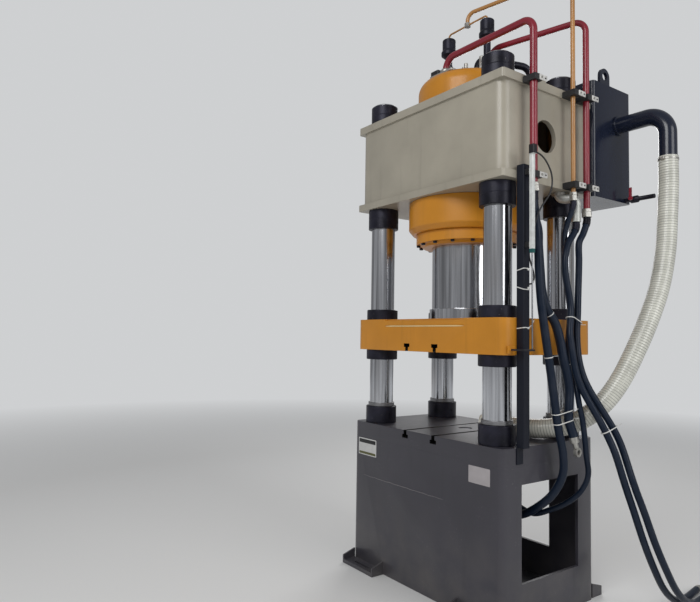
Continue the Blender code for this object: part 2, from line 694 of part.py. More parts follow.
def build_crown():
    """Hollow crown: walls between a top and a bottom plate that stand out as lips."""
    top = CROWN_Z + CROWN_H
    half_w = CROWN_W / 2
    half_d = CROWN_D / 2
    crown = block("crown", (CROWN_LIP - half_w, CROWN_LIP - half_d, CROWN_Z + WELD),
                  (half_w - CROWN_LIP, half_d - CROWN_LIP, top - WELD), CROWN_CORNER, CROWN_PAINT)
    plates = [block("crown_top_plate", (-half_w, -half_d, top - CROWN_TOP_PLATE), (half_w, half_d, top),
                    CROWN_LIP, collection=CUTTERS),
              block("crown_bottom_plate", (-half_w, -half_d, CROWN_Z),
                    (half_w, half_d, CROWN_Z + CROWN_BOTTOM_PLATE), CROWN_LIP, collection=CUTTERS)]
    lugs = []
    for side in (-1, 1):
        edge = side * (half_w - LUG_T / 2 - CROWN_LIP)
        lugs.append(lifting_lug(edge - LUG_T / 2, top - WELD))
    weld(crown, *plates, *lugs)
    skin = CROWN_LIP + CROWN_WALL
    cut(crown, block("crown_inside", (skin - half_w, skin - half_d, CROWN_Z + CROWN_BOTTOM_PLATE),
                     (half_w - skin, half_d - skin, top - CROWN_TOP_PLATE), collection=CUTTERS))
    low = (CROWN_Z - CUT, top + CUT)
    cut(crown, round_bar("barrel_hole", (0, 0, low[0]), (0, 0, low[1]), BARREL_D + 2 * GAP,
                         collection=CUTTERS, segments=FINE_SEGMENTS))
    for name, x, y in column_spots():
        cut(crown, round_bar(f"crown_hole_{name}", (x, y, low[0]), (x, y, low[1]), COLUMN_D + 2 * GAP,
                             collection=CUTTERS))
    height = CROWN_Z + SIDE_HOLE_Z
    cut(crown, round_bar("side_hole", (-half_w - CUT, SIDE_HOLE_Y, height),
                         (half_w + CUT, SIDE_HOLE_Y, height), SIDE_HOLE_D, collection=CUTTERS))


def lifting_lug(x, z):
    """A low trapezoid plate that stands on the crown's edge."""
    bm = bmesh.new()
    half = LUG_L / 2
    outline = [(LUG_Y - half, z), (LUG_Y + half, z), (LUG_Y + half, z + LUG_H / 2),
               (LUG_Y + half / 3, z + LUG_H + WELD), (LUG_Y - half / 3, z + LUG_H + WELD),
               (LUG_Y - half, z + LUG_H / 2)]
    face = bm.faces.new([bm.verts.new((x, y, height)) for y, height in outline])
    pushed = bmesh.ops.extrude_face_region(bm, geom=[face])
    moved = [v for v in pushed["geom"] if isinstance(v, bmesh.types.BMVert)]
    bmesh.ops.translate(bm, vec=(LUG_T, 0, 0), verts=moved)
    return mesh_object("crown_lug", bm, collection=CUTTERS)


def build_cylinder():
    """Barrel with its lower drum and domed head, and the gland round the rod."""
    drum_top = CROWN_Z - GAP
    drum_low = drum_top - DRUM_H
    spigot_top = drum_low + GLAND_SPIGOT_H
    bore = BORE_D / 2
    shoulder = arc((BARREL_D / 2 - HEAD_SHOULDER, HEAD_TOP_Z - HEAD_SHOULDER), HEAD_SHOULDER, 90, 0, 6)
    outline = [(0, HEAD_TOP_Z)] + shoulder
    outline += [(BARREL_D / 2, drum_top), (DRUM_D / 2, drum_top), (DRUM_D / 2, drum_low + DRUM_CHAMFER),
                (DRUM_D / 2 - DRUM_CHAMFER, drum_low), (bore, drum_low),
                (bore, HEAD_TOP_Z - HEAD_WALL), (0, HEAD_TOP_Z - HEAD_WALL)]
    turned("main_cylinder", outline, (0, 0, 0), ORANGE_PAINT, segments=FINE_SEGMENTS)
    face = drum_low - GAP
    foot = face - GLAND_H
    gland = [(bore - GAP, spigot_top), (bore - GAP, face), (GLAND_D / 2, face),
             (GLAND_D / 2, foot + GLAND_LIP_H), (GLAND_LIP_D / 2 + GLAND_LIP_H, foot + GLAND_LIP_H),
             (GLAND_LIP_D / 2, foot), (ROD_D / 2 + GAP, foot), (ROD_D / 2 + GAP, spigot_top)]
    turned("cylinder_gland", gland, (0, 0, 0), ORANGE_PAINT, ring=True, segments=FINE_SEGMENTS)
    base = SLIDE_Z + SLIDE_H + GAP
    piston_low = spigot_top + STROKE_DOWN + STROKE_SPARE
    ring = ROD_RING_D / 2
    ring_top = base + ROD_RING_H
    rod = [(0, piston_low + PISTON_H), (bore - GAP, piston_low + PISTON_H), (bore - GAP, piston_low),
           (ROD_D / 2, piston_low), (ROD_D / 2, ring_top), (ring - ROD_RING_EDGE, ring_top),
           (ring, ring_top - ROD_RING_EDGE), (ring, base), (0, base)]
    turned("piston_rod", rod, (0, 0, 0), CHROME, segments=FINE_SEGMENTS)


def build_slide():
    """Moving slide with T-slots underneath and a guide bush round each column."""
    top = SLIDE_Z + SLIDE_H
    front = -SLIDE_D / 2
    slide = block("slide", (-SLIDE_W / 2, front, SLIDE_Z), (SLIDE_W / 2, -front, top),
                  SLIDE_CORNER, ORANGE_PAINT)
    pocket = block("front_pocket", (POCKET_X0, front - CUT, top - POCKET_DROP),
                   (POCKET_X1, front + POCKET_D, top + CUT), collection=CUTTERS)
    groove = block("front_groove", (POCKET_X0, front - CUT, SLIDE_Z + GROOVE_Z),
                   (POCKET_X1, front + GROOVE_D, SLIDE_Z + GROOVE_Z + GROOVE_H), collection=CUTTERS)
    cut(slide, pocket, groove, *slot_cutters("slide", SLIDE_D, SLIDE_Z, 1))
    sleeve = COLUMN_D / 2 + BUSH_WALL
    bore = COLUMN_D / 2 + GAP
    high = top + GAP + BUSH_UPPER_H
    low = SLIDE_Z - GAP - BUSH_LOWER_H
    for name, x, y in column_spots():
        cut(slide, round_bar(f"slide_hole_{name}", (x, y, SLIDE_Z - CUT), (x, y, top + CUT),
                             2 * (sleeve + GAP), collection=CUTTERS))
        bush = [(BUSH_D / 2, high), (BUSH_D / 2, top + GAP), (sleeve, top + GAP),
                (sleeve, SLIDE_Z - GAP), (BUSH_D / 2, SLIDE_Z - GAP), (BUSH_D / 2, low),
                (bore, low), (bore, high)]
        turned(f"{name}_bush", bush, (x, y, 0), BLACK_STEEL, ring=True)


def build_ejector():
    """Ejector cylinder hung under the table plate, and its rod."""
    flange = BED_H - TABLE_PLATE - GAP
    bottom = EJECTOR_Z
    barrel = EJECTOR_BARREL_D / 2
    bore = EJECTOR_BORE_D / 2
    rod = EJECTOR_ROD_D / 2
    lid = EJECTOR_BASE
    outline = [(EJECTOR_FLANGE_D / 2, flange), (EJECTOR_FLANGE_D / 2, flange - EJECTOR_FLANGE_H),
               (barrel, flange - EJECTOR_FLANGE_H), (barrel, bottom), (0, bottom),
               (0, bottom + EJECTOR_BASE), (bore, bottom + EJECTOR_BASE), (bore, flange - lid),
               (rod + GAP, flange - lid), (rod + GAP, flange)]
    cylinder = turned("ejector_cylinder", outline, (0, 0, 0), BLACK_STEEL, ring=True)
    for port in (PORT_AT, LOW_PORT_AT):
        weld(cylinder, round_bar("ejector_port", ((barrel + bore) / 2, *port[1:]), port, PORT_D,
                                 collection=CUTTERS, segments=16))
    top = BED_H - EJECTOR_DROP
    piston = flange - lid - EJECTOR_STROKE - EJECTOR_PISTON_H - STROKE_SPARE
    outline = [(0, top), (rod - EJECTOR_DROP, top), (rod, top - EJECTOR_DROP),
               (rod, piston + EJECTOR_PISTON_H), (bore - GAP, piston + EJECTOR_PISTON_H),
               (bore - GAP, piston), (0, piston)]
    turned("ejector_rod", outline, (0, 0, 0), CHROME)


def build_tank():
    """Thin-walled oil tank hung on the crown's back, with its outlet and drain."""
    x0 = TANK_X1 - TANK_W
    x1 = TANK_X1
    y1 = TANK_Y0 + TANK_D
    top = TANK_Z + TANK_H
    tank = block("oil_tank", (x0, TANK_Y0, TANK_Z), (x1, y1, top), TANK_CORNER, TANK_PAINT)
    rail_low = TANK_Z + TANK_RAIL_Z0
    rails = [block("tank_rail", (side * TANK_RAIL_X - TANK_RAIL_W / 2, CROWN_D / 2 + GAP, rail_low),
                   (side * TANK_RAIL_X + TANK_RAIL_W / 2, TANK_Y0 + WELD, rail_low + TANK_RAIL_H),
                   collection=CUTTERS) for side in (-1, 1)]
    eyes = [lifting_eye(side * EYE_X, (TANK_Y0 + y1) / 2 + EYE_BACK, top - WELD) for side in (-1, 1)]
    weld(tank, *rails, *eyes)
    skin = TANK_WALL
    cut(tank, block("tank_inside", (x0 + skin, TANK_Y0 + skin, TANK_Z + skin),
                    (x1 - skin, y1 - skin, top - skin), collection=CUTTERS))
    cut(tank, round_bar("outlet_port", (x1 - 2 * CUT, TANK_PORT_Y, TANK_PORT_Z),
                        (x1 + CUT, TANK_PORT_Y, TANK_PORT_Z), TANK_PORT_D, collection=CUTTERS))
    cut(tank, round_bar("drain_port", (x1 - 2 * CUT, DRAIN_Y, DRAIN_Z), (x1 + CUT, DRAIN_Y, DRAIN_Z),
                        DRAIN_D / 2, collection=CUTTERS))
    start = (x1 + GAP, TANK_PORT_Y, TANK_PORT_Z)
    path = bent_path([start, (OUTLET_REACH, TANK_PORT_Y, TANK_PORT_Z),
                      (OUTLET_REACH, TANK_PORT_Y, OUTLET_END_Z)], OUTLET_BEND, 8)
    outlet = tube_mesh(tube("tank_outlet_pipe", path, OUTLET_D, TANK_PAINT, 4))
    flange = round_bar("outlet_flange", start, (start[0] + OUTLET_FLANGE_T, *start[1:]),
                       OUTLET_FLANGE_D, collection=CUTTERS)
    weld(outlet, flange)
    build_drain(x1)


def lifting_eye(x, y, z):
    """A round-topped plate with a hole, standing on the tank."""
    bm = bmesh.new()
    half = EYE_W / 2
    centre = z + EYE_H - half
    outline = [(y + half, z)] + arc((y, centre), half, 0, 180, 12) + [(y - half, z)]
    face = bm.faces.new([bm.verts.new((x - EYE_T / 2, side, height)) for side, height in outline])
    pushed = bmesh.ops.extrude_face_region(bm, geom=[face])
    moved = [v for v in pushed["geom"] if isinstance(v, bmesh.types.BMVert)]
    bmesh.ops.translate(bm, vec=(EYE_T, 0, 0), verts=moved)
    eye = mesh_object("tank_eye", bm, collection=CUTTERS)
    cut(eye, round_bar("tank_eye_hole", (x - EYE_T, y, centre), (x + EYE_T, y, centre), EYE_HOLE_D,
                       collection=CUTTERS, segments=16))
    return eye


def build_drain(face):
    """Drain stub with a ball valve, and the upright lever that turns on its stem."""
    start = face + GAP
    end = start + DRAIN_LENGTH
    body_end = start + DRAIN_BODY_X + DRAIN_BODY_L
    outline = [(0, end), (DRAIN_D / 2, end), (DRAIN_D / 2, body_end), (DRAIN_BODY_D / 2, body_end - 0.008),
               (DRAIN_BODY_D / 2, start + DRAIN_BODY_X + 0.008), (DRAIN_D / 2, start + DRAIN_BODY_X),
               (DRAIN_D / 2, start), (0, start)]
    valve = turned("drain_valve", [(r, h - start) for r, h in outline], (start, DRAIN_Y, DRAIN_Z),
                   BLACK_STEEL, segments=20, axis=(1, 0, 0))
    middle = start + DRAIN_BODY_X + DRAIN_BODY_L / 2
    near = DRAIN_Y - DRAIN_BODY_D / 2 - DRAIN_STEM_H
    weld(valve, round_bar("drain_stem", (middle, DRAIN_Y, DRAIN_Z), (middle, near, DRAIN_Z),
                          DRAIN_STEM_D, collection=CUTTERS, segments=16))
    near -= GAP
    lever = round_bar("drain_lever", (middle, near, DRAIN_Z), (middle, near - 2 * LEVER_T, DRAIN_Z),
                      LEVER_HUB_D, RED_PAINT, segments=20)
    weld(lever, block("lever_blade", (middle - LEVER_W / 2, near - LEVER_T * 1.5, DRAIN_Z),
                      (middle + LEVER_W / 2, near - LEVER_T / 2, DRAIN_Z + LEVER_L),
                      collection=CUTTERS))


def build_pipes():
    """The two red pipes and the ochre pilot pipe that rise past the crown's right side."""
    head = HEAD_TOP_Z
    block_top = head + GAP + FOOT_BLOCK[2]
    foot_a = (PIPE_A_FOOT_X, PIPE_A_Y + 0.014, block_top + GAP)
    path = bent_path([(PIPE_X, PIPE_A_Y, PIPE_A_END), (PIPE_X, PIPE_A_Y, PIPE_A_TOP),
                      (foot_a[0], foot_a[1], PIPE_A_TOP + PIPE_A_RISE), foot_a], PIPE_BEND)
    tube("front_red_pipe", path, PIPE_A_D, RED_PAINT, 3)
    foot_b = (*PIPE_B_FOOT, head + GAP)
    path = bent_path([(PIPE_X, PIPE_B_Y, PIPE_B_END), (PIPE_X, PIPE_B_Y, PIPE_B_TOP),
                      (foot_b[0], foot_b[1], PIPE_B_TOP), foot_b], PIPE_BEND)
    tube("rear_red_pipe", path, PIPE_B_D, RED_PAINT, 3)
    level = VALVE_TOP_Z + CROSSOVER_RISE
    path = bent_path([(PIPE_X, PIPE_C_Y, PIPE_C_END), (PIPE_X, PIPE_C_Y, PIPE_C_TOP),
                      (0, 0, PIPE_C_TOP), (0, 0, level)], PIPE_C_BEND)
    pilot = tube_mesh(tube("pilot_pipe", path, PIPE_C_D, OCHRE_PAINT))
    face = VALVE_TOP_Z + GAP
    path = bent_path([(-VALVE_X, 0, face), (-VALVE_X, 0, level), (VALVE_X, 0, level),
                      (VALVE_X, 0, face)], CROSSOVER_RISE * 0.7, 4)
    crossover = tube_mesh(tube("pilot_crossover", path, CROSSOVER_D, OCHRE_PAINT, 2))
    PARTS.objects.unlink(crossover)
    weld(pilot, place(crossover, CUTTERS))
    length, width, height = FOOT_BLOCK
    x, y = foot_a[0], foot_a[1]
    block("pipe_foot_block", (x - length / 2, y - width / 2, head + GAP),
          (x + length / 2, y + width / 2, head + GAP + height), 0.008, ZINC)


def build_clamp(name, z, pipes):
    """A clamp rail on the crown's edge with one block for each pipe."""
    face = CROWN_W / 2 + GAP
    ends = [y for y, _ in pipes]
    clamp = block(name, (face, min(ends) - CLAMP_W / 2, z - CLAMP_H / 2),
                  (face + CLAMP_RAIL_T, max(ends) + CLAMP_W / 2, z + CLAMP_H / 2), material=BLACK_POLYMER)
    for y, diameter in pipes:
        weld(clamp, block(name + "_block", (face + WELD, y - CLAMP_W / 2, z - CLAMP_H / 2),
                          (face + CLAMP_OUT, y + CLAMP_W / 2, z + CLAMP_H / 2), collection=CUTTERS))
    for y, diameter in pipes:
        cut(clamp, round_bar(name + "_bore", (PIPE_X, y, z - CLAMP_H), (PIPE_X, y, z + CLAMP_H),
                             diameter + 2 * GAP, collection=CUTTERS, segments=24))


def build_clamps():
    front = [(PIPE_A_Y, PIPE_A_D)]
    rear = [(PIPE_C_Y, PIPE_C_D), (PIPE_B_Y, PIPE_B_D)]
    for level, z in (("upper", UPPER_CLAMP_Z), ("lower", LOWER_CLAMP_Z)):
        build_clamp(f"{level}_front_clamp", z, front)
        build_clamp(f"{level}_rear_clamp", z, rear)


def build_head_fittings():
    """Filling valves, the filling pipe and the vent tube."""
    base = HEAD_TOP_Z + GAP
    cup = VALVE_TOP_Z - VALVE_CUP_H
    for side, hand in ((-1, "left"), (1, "right")):
        outline = [(0, VALVE_TOP_Z), (VALVE_D / 2 - 0.006, VALVE_TOP_Z), (VALVE_D / 2, VALVE_TOP_Z - 0.006),
                   (VALVE_D / 2, cup), (VALVE_COLLAR_D / 2, cup - 0.012),
                   (VALVE_COLLAR_D / 2, cup - 0.035), (VALVE_STEM_D / 2, cup - 0.06),
                   (VALVE_STEM_D / 2, base + VALVE_BASE_H), (VALVE_BASE_D / 2, base + VALVE_BASE_H),
                   (VALVE_BASE_D / 2, base), (0, base)]
        turned(f"{hand}_filling_valve", outline, (side * VALVE_X, 0, 0), BLACK_STEEL, segments=20)
    start = (*FILL_PIPE_START, base)
    end = (*FILL_PIPE_TANK, TANK_Z + TANK_H + GAP)
    path = bent_path([start, (start[0], start[1], FILL_PIPE_TOP), (end[0], end[1], FILL_PIPE_TOP), end],
                     FILL_PIPE_D * 1.5, 5)
    tube("filling_pipe", path, FILL_PIPE_D, BLACK_STEEL, 3)
    outline = [(0, VENT_TOP_Z), (VENT_D / 2 - 0.004, VENT_TOP_Z), (VENT_D / 2, VENT_TOP_Z - 0.004),
               (VENT_D / 2, base), (0, base)]
    turned("vent_tube", outline, (*VENT_XY, 0), PALE_ALLOY, segments=16)


def build_sensor():
    """Square post beside the slide, the draw-rod transducer on it and the slide's arm."""
    face = CROWN_W / 2 + GAP
    half = POST_SIZE / 2
    post = block("sensor_post", (face, POST_Y - half, POST_END_Z),
                 (face + POST_SIZE, POST_Y + half, POST_TOP_Z), 0.005, BED_PAINT)
    plate = block("post_plate", (face, POST_Y - half, POST_END_Z - POST_PLATE_H),
                  (face + POST_PLATE_T, POST_Y + half, POST_END_Z + CUT), collection=CUTTERS)
    weld(post, plate)
    inner = half - POST_WALL
    cut(post, block("post_bore", (face + POST_WALL + POST_PLATE_T, POST_Y - inner, POST_END_Z - CUT),
                    (face + POST_SIZE - POST_WALL, POST_Y + inner, POST_TOP_Z + CUT), collection=CUTTERS))
    post_face = face + POST_SIZE
    x0 = post_face + SENSOR_STANDOFF
    side = SENSOR_W / 2
    body = block("transducer", (x0, SENSOR_Y - side, SENSOR_Z0),
                 (x0 + SENSOR_W, SENSOR_Y + side, SENSOR_Z1), 0.002, PALE_ALLOY)
    head = SENSOR_HEAD_W / 2
    weld(body, block("transducer_head", (x0, SENSOR_Y - head, SENSOR_Z1 - WELD),
                     (x0 + SENSOR_HEAD_W, SENSOR_Y + head, SENSOR_Z1 + SENSOR_HEAD_H), 0.003,
                     collection=CUTTERS))
    feet = [block("transducer_foot", (post_face + GAP, SENSOR_Y - side, z),
                  (x0 + WELD, SENSOR_Y + side, z + SENSOR_FOOT_H), collection=CUTTERS)
            for z in (SENSOR_Z0 + SENSOR_FOOT_H, POST_TOP_Z - 2 * SENSOR_FOOT_H)]
    weld(body, *feet)
    axis_x = x0 + side
    rod_top = SENSOR_Z0 + STROKE_DOWN + SENSOR_GRIP
    cut(body, round_bar("transducer_bore", (axis_x, SENSOR_Y, SENSOR_Z0 - CUT),
                        (axis_x, SENSOR_Y, rod_top + STROKE_UP + SENSOR_SPARE), SENSOR_BORE_D,
                        collection=CUTTERS, segments=12))
    arm_top = ARM_Z + ARM_T / 2
    round_bar("transducer_rod", (axis_x, SENSOR_Y, arm_top + GAP), (axis_x, SENSOR_Y, rod_top),
              SENSOR_ROD_D, CHROME, segments=12)
    side_face = SLIDE_W / 2 + GAP
    arm = block("sensor_arm", (side_face, ARM_Y - ARM_W / 2, ARM_Z - ARM_T * 2),
                (side_face + ARM_T, ARM_Y + ARM_W / 2, ARM_Z + ARM_T * 2), material=ORANGE_PAINT)
    weld(arm, block("arm_reach", (side_face + WELD, ARM_Y - ARM_W / 4, ARM_Z - ARM_T / 2),
                    (axis_x + ARM_T, ARM_Y + ARM_W / 4, ARM_Z + ARM_T / 2), collection=CUTTERS),
         block("arm_finger", (axis_x - ARM_T, ARM_Y, ARM_Z - ARM_T / 2),
               (axis_x + ARM_T, SENSOR_Y + ARM_T, ARM_Z + ARM_T / 2), collection=CUTTERS))


def build_elbow():
    """Pale bent tube under the crown that feeds the elbow hose."""
    start = (*ELBOW_START, CROWN_Z - GAP)
    path = bent_path([start, (*ELBOW_START, ELBOW_LEVEL), (*ELBOW_END[:2], ELBOW_LEVEL), ELBOW_END],
                     ELBOW_BEND)
    tube("crown_elbow", path, ELBOW_D, PALE_ALLOY, 3)


def hose_fitting(name, at, direction, diameter):
    """Crimped end fitting: a ferrule with a wide hexagon and a nose."""
    step = diameter / 2
    nose = FITTING_L - FITTING_HEX_L
    outline = [(0, FITTING_L), (step * 0.6, FITTING_L), (step * 0.6, nose), (step * 1.0, nose),
               (step * 1.0, nose - FITTING_HEX_L), (step * 0.75, nose - FITTING_HEX_L),
               (step * 0.95, 0.0), (0, 0.0)]
    return turned(name, outline, at, ZINC, segments=18, axis=direction)


def moved(route, by):
    """A route's points, each moved by the same amounts."""
    return [tuple(Vector(point) + Vector(by)) for point in route]


def build_hoses():
    """Loose hoses and the sensor cable along their routes, with their end fittings."""
    side = (SIDE, 0, 0)
    tube("suction_hose", smooth_path(moved(SUCTION_ROUTE, side), SUCTION_STEP), SUCTION_D, CLEAR_HOSE, 4)
    for name, route, diameter in (("loose_hose", LOOSE_HOSE_ROUTE, LOOSE_HOSE_D),
                                  ("elbow_hose", ELBOW_HOSE_ROUTE, ELBOW_HOSE_D),
                                  ("rear_hose", REAR_HOSE_ROUTE, REAR_HOSE_D)):
        route = moved(route, side)
        tube(name, smooth_path(route, HOSE_STEP), diameter, BLACK_RUBBER)
        heading = (Vector(route[-1]) - Vector(route[-2])).normalized()
        fitting = hose_fitting(name + "_fitting", Vector(route[-1]) + heading * GAP, heading, diameter)
        if name == "loose_hose":
            centre = Vector(route[-1]) + heading * (FITTING_L + BANJO_D / 2 - WELD)
            half = Vector((BANJO_T / 2, 0, 0))
            weld(fitting, round_bar("banjo_eye", centre - half, centre + half, BANJO_D,
                                    collection=CUTTERS, segments=24))
            cut(fitting, round_bar("banjo_hole", centre - 2 * half, centre + 2 * half, BANJO_HOLE_D,
                                   collection=CUTTERS, segments=20))
    for name, route, last, port, diameter in (
            ("front_hose", FRONT_HOSE_ROUTE, LOW_PORT_ROUTE, LOW_PORT_AT, FRONT_HOSE_D),
            ("pilot_hose", PILOT_HOSE_ROUTE, PORT_ROUTE, PORT_AT, PILOT_HOSE_D)):
        tube(name, smooth_path(moved(route, side) + moved(last, port), HOSE_STEP), diameter, BLACK_RUBBER)
    tube("sensor_cable", smooth_path(moved(CABLE_ROUTE, side), CABLE_STEP), CABLE_D, BLACK_RUBBER, 2)


build_bed()
build_columns()
build_crown()
build_cylinder()
build_slide()
build_ejector()
build_tank()
build_pipes()
build_clamps()
build_head_fittings()
build_sensor()
build_elbow()
build_hoses()
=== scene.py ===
"""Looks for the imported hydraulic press: paint, chrome, pipes, hoses, ties and small fittings.

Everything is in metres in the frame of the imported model: the origin is on the floor under
the middle of the bed, X runs along the front face and the front looks towards -Y.
"""

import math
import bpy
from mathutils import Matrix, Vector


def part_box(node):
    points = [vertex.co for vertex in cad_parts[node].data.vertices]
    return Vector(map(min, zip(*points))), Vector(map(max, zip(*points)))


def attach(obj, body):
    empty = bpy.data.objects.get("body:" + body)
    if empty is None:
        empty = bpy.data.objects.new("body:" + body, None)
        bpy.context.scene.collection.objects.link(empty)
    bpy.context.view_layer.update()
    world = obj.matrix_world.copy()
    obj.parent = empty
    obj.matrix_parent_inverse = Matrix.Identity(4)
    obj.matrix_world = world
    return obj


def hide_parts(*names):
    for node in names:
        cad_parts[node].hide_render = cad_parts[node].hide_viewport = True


bl_info = {
    "name": "Hydraulic Press Looks",
    "version": (1, 0, 0),
    "blender": (4, 5, 0),
    "location": "3D View > Sidebar > Press",
    "description": "Dresses the packed frame of a four-column hydraulic press",
    "category": "Object",
}

import bmesh
import bpy
import numpy as np
from bpy.props import FloatProperty, FloatVectorProperty, IntProperty, PointerProperty
from mathutils import Matrix, Vector

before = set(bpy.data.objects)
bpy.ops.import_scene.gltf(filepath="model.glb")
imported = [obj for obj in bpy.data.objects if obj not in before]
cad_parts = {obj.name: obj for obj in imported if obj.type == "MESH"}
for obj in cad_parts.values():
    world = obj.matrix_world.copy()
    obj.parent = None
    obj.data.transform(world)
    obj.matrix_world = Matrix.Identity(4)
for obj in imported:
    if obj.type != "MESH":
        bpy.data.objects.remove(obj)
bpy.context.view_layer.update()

GAP = 0.0003
COLUMNS = ("front_left", "front_right", "rear_left", "rear_right")
COLUMN_R = 0.08
COLUMN_BORE = COLUMN_R + GAP
CYLINDER_BORE = 0.25
VALVE_X = 0.172
# On round pieces only edges that turn by more than this many degrees are eased
ROUND_ANGLE = 50.0
FRONT_PORT = (0.700, -0.214, 2.330)
REAR_PORT = (0.700, 0.275, 2.250)
PILOT_PORT = (0.700, 0.145, 2.330)
FINISHES = {}


# Properties that a user would change

def length(name, metres, words):
    """A length property in metres."""
    return FloatProperty(name=name, description=words, default=metres, unit="LENGTH")


def colour(name, value, words):
    """A colour property in linear values."""
    return FloatVectorProperty(name=name, description=words, default=value, size=3,
                               subtype="COLOR", min=0.0, max=1.0)


class PressPaints(bpy.types.PropertyGroup):
    """Colours of the finishes."""
    bed: colour("Bed", (0.043, 0.041, 0.053), "Dark blue-grey enamel of the bed and table")
    post: colour("Post", (0.006, 0.008, 0.016), "Near-black navy enamel of the sensor post")
    crown: colour("Crown", (0.37, 0.34, 0.275), "Warm grey enamel of the crown")
    orange: colour("Orange", (0.60, 0.245, 0.020), "Enamel of the slide and the cylinder")
    # Rib: a painted highlight, the pale line of light on a ledge edge across the slide's front
    rib: colour("Rib", (0.80, 0.60, 0.29), "Cream line across the slide's front")
    steel: colour("Black steel", (0.012, 0.012, 0.020), "Blackened nuts, bushes and valves")
    chrome: colour("Chrome", (0.60, 0.61, 0.64), "Columns and rod")
    tank: colour("Tank", (0.008, 0.012, 0.028), "Navy enamel of the tank and its outlet")
    red: colour("Red pipes", (0.24, 0.015, 0.030), "Crimson enamel of the large pipes")
    ochre: colour("Ochre pipes", (0.43, 0.205, 0.058), "Enamel of the thin pilot pipes")
    rubber: colour("Hoses", (0.007, 0.014, 0.030), "Rubber of the black hoses")
    milky: colour("Suction hose", (0.64, 0.64, 0.57), "Milky plastic of the suction hose")


class PressSizes(bpy.types.PropertyGroup):
    """Sizes of the pieces that the frame doesn't give."""
    edge: length("Edge", 0.003, "Width of the eased edges of plates")
    crown_edge: length("Crown edge", 0.004, "Width of the eased edges of the crown's lips")
    ferrule: length("Ferrule", 0.060, "Length of a hose's crimped ferrule")
    tie: length("Tie width", 0.005, "Width of a cable tie")
    wire_pitch: length("Wire pitch", 0.016, "Distance between turns of the suction hose's wire")
    facets: IntProperty(name="Facets", description="Facets round a turned piece", default=72, min=12)


class PressView(bpy.types.PropertyGroup):
    """Camera and light."""
    focal: FloatProperty(name="Focal length", description="Lens in millimetres", default=31.70)
    eye: FloatVectorProperty(name="Camera", description="Place of the camera", size=3, subtype="XYZ",
                             default=(2.8169, -2.9500, 1.5212))
    turn: FloatProperty(name="Turn", description="Camera's turn from +Y towards -X, in degrees",
                        default=54.361)
    rise: FloatProperty(name="Rise", description="Camera's pitch above level, in degrees", default=3.216)
    roll: FloatProperty(name="Roll", description="Camera's roll, in degrees", default=0.915)
    world: FloatProperty(name="World", description="Strength of the even light", default=0.31)
    key: FloatProperty(name="Key", description="Power of the large key lamp in watts", default=165.0)
    fill: FloatProperty(name="Fill", description="Power of the other lamps, as a share of the key's",
                        default=0.55)
    backdrop: colour("Backdrop", (0.62, 0.63, 0.64), "What the camera sees behind everything")


# Shader maths as expressions

class Signal:
    """A shader socket; sums, products and comparisons of it are Math nodes."""

    def __init__(self, finish, socket):
        self.finish = finish
        self.socket = socket

    def __add__(self, other):
        return self.finish.maths("ADD", self, other)

    def __sub__(self, other):
        return self.finish.maths("SUBTRACT", self, other)

    def __rsub__(self, other):
        return self.finish.maths("SUBTRACT", other, self)

    def __mul__(self, other):
        return self.finish.maths("MULTIPLY", self, other)

    def __pow__(self, other):
        return self.finish.maths("POWER", self, other)

    def __gt__(self, other):
        return self.finish.maths("GREATER_THAN", self, other)

    def __lt__(self, other):
        return self.finish.maths("LESS_THAN", self, other)

    __radd__ = __add__
    __rmul__ = __mul__

    def held(self):
        """The value held between 0 and 1."""
        return self.finish.maths("ADD", self, 0.0, clamp=True)

    def sine(self):
        return self.finish.maths("SINE", self, 0.0)

    def size(self):
        """The value without its sign."""
        return self.finish.maths("ABSOLUTE", self, 0.0)

    def between(self, low, high):
        """0 at low, 1 at high, straight in between and held outside."""
        return ((self - low) * (1.0 / (high - low))).held()


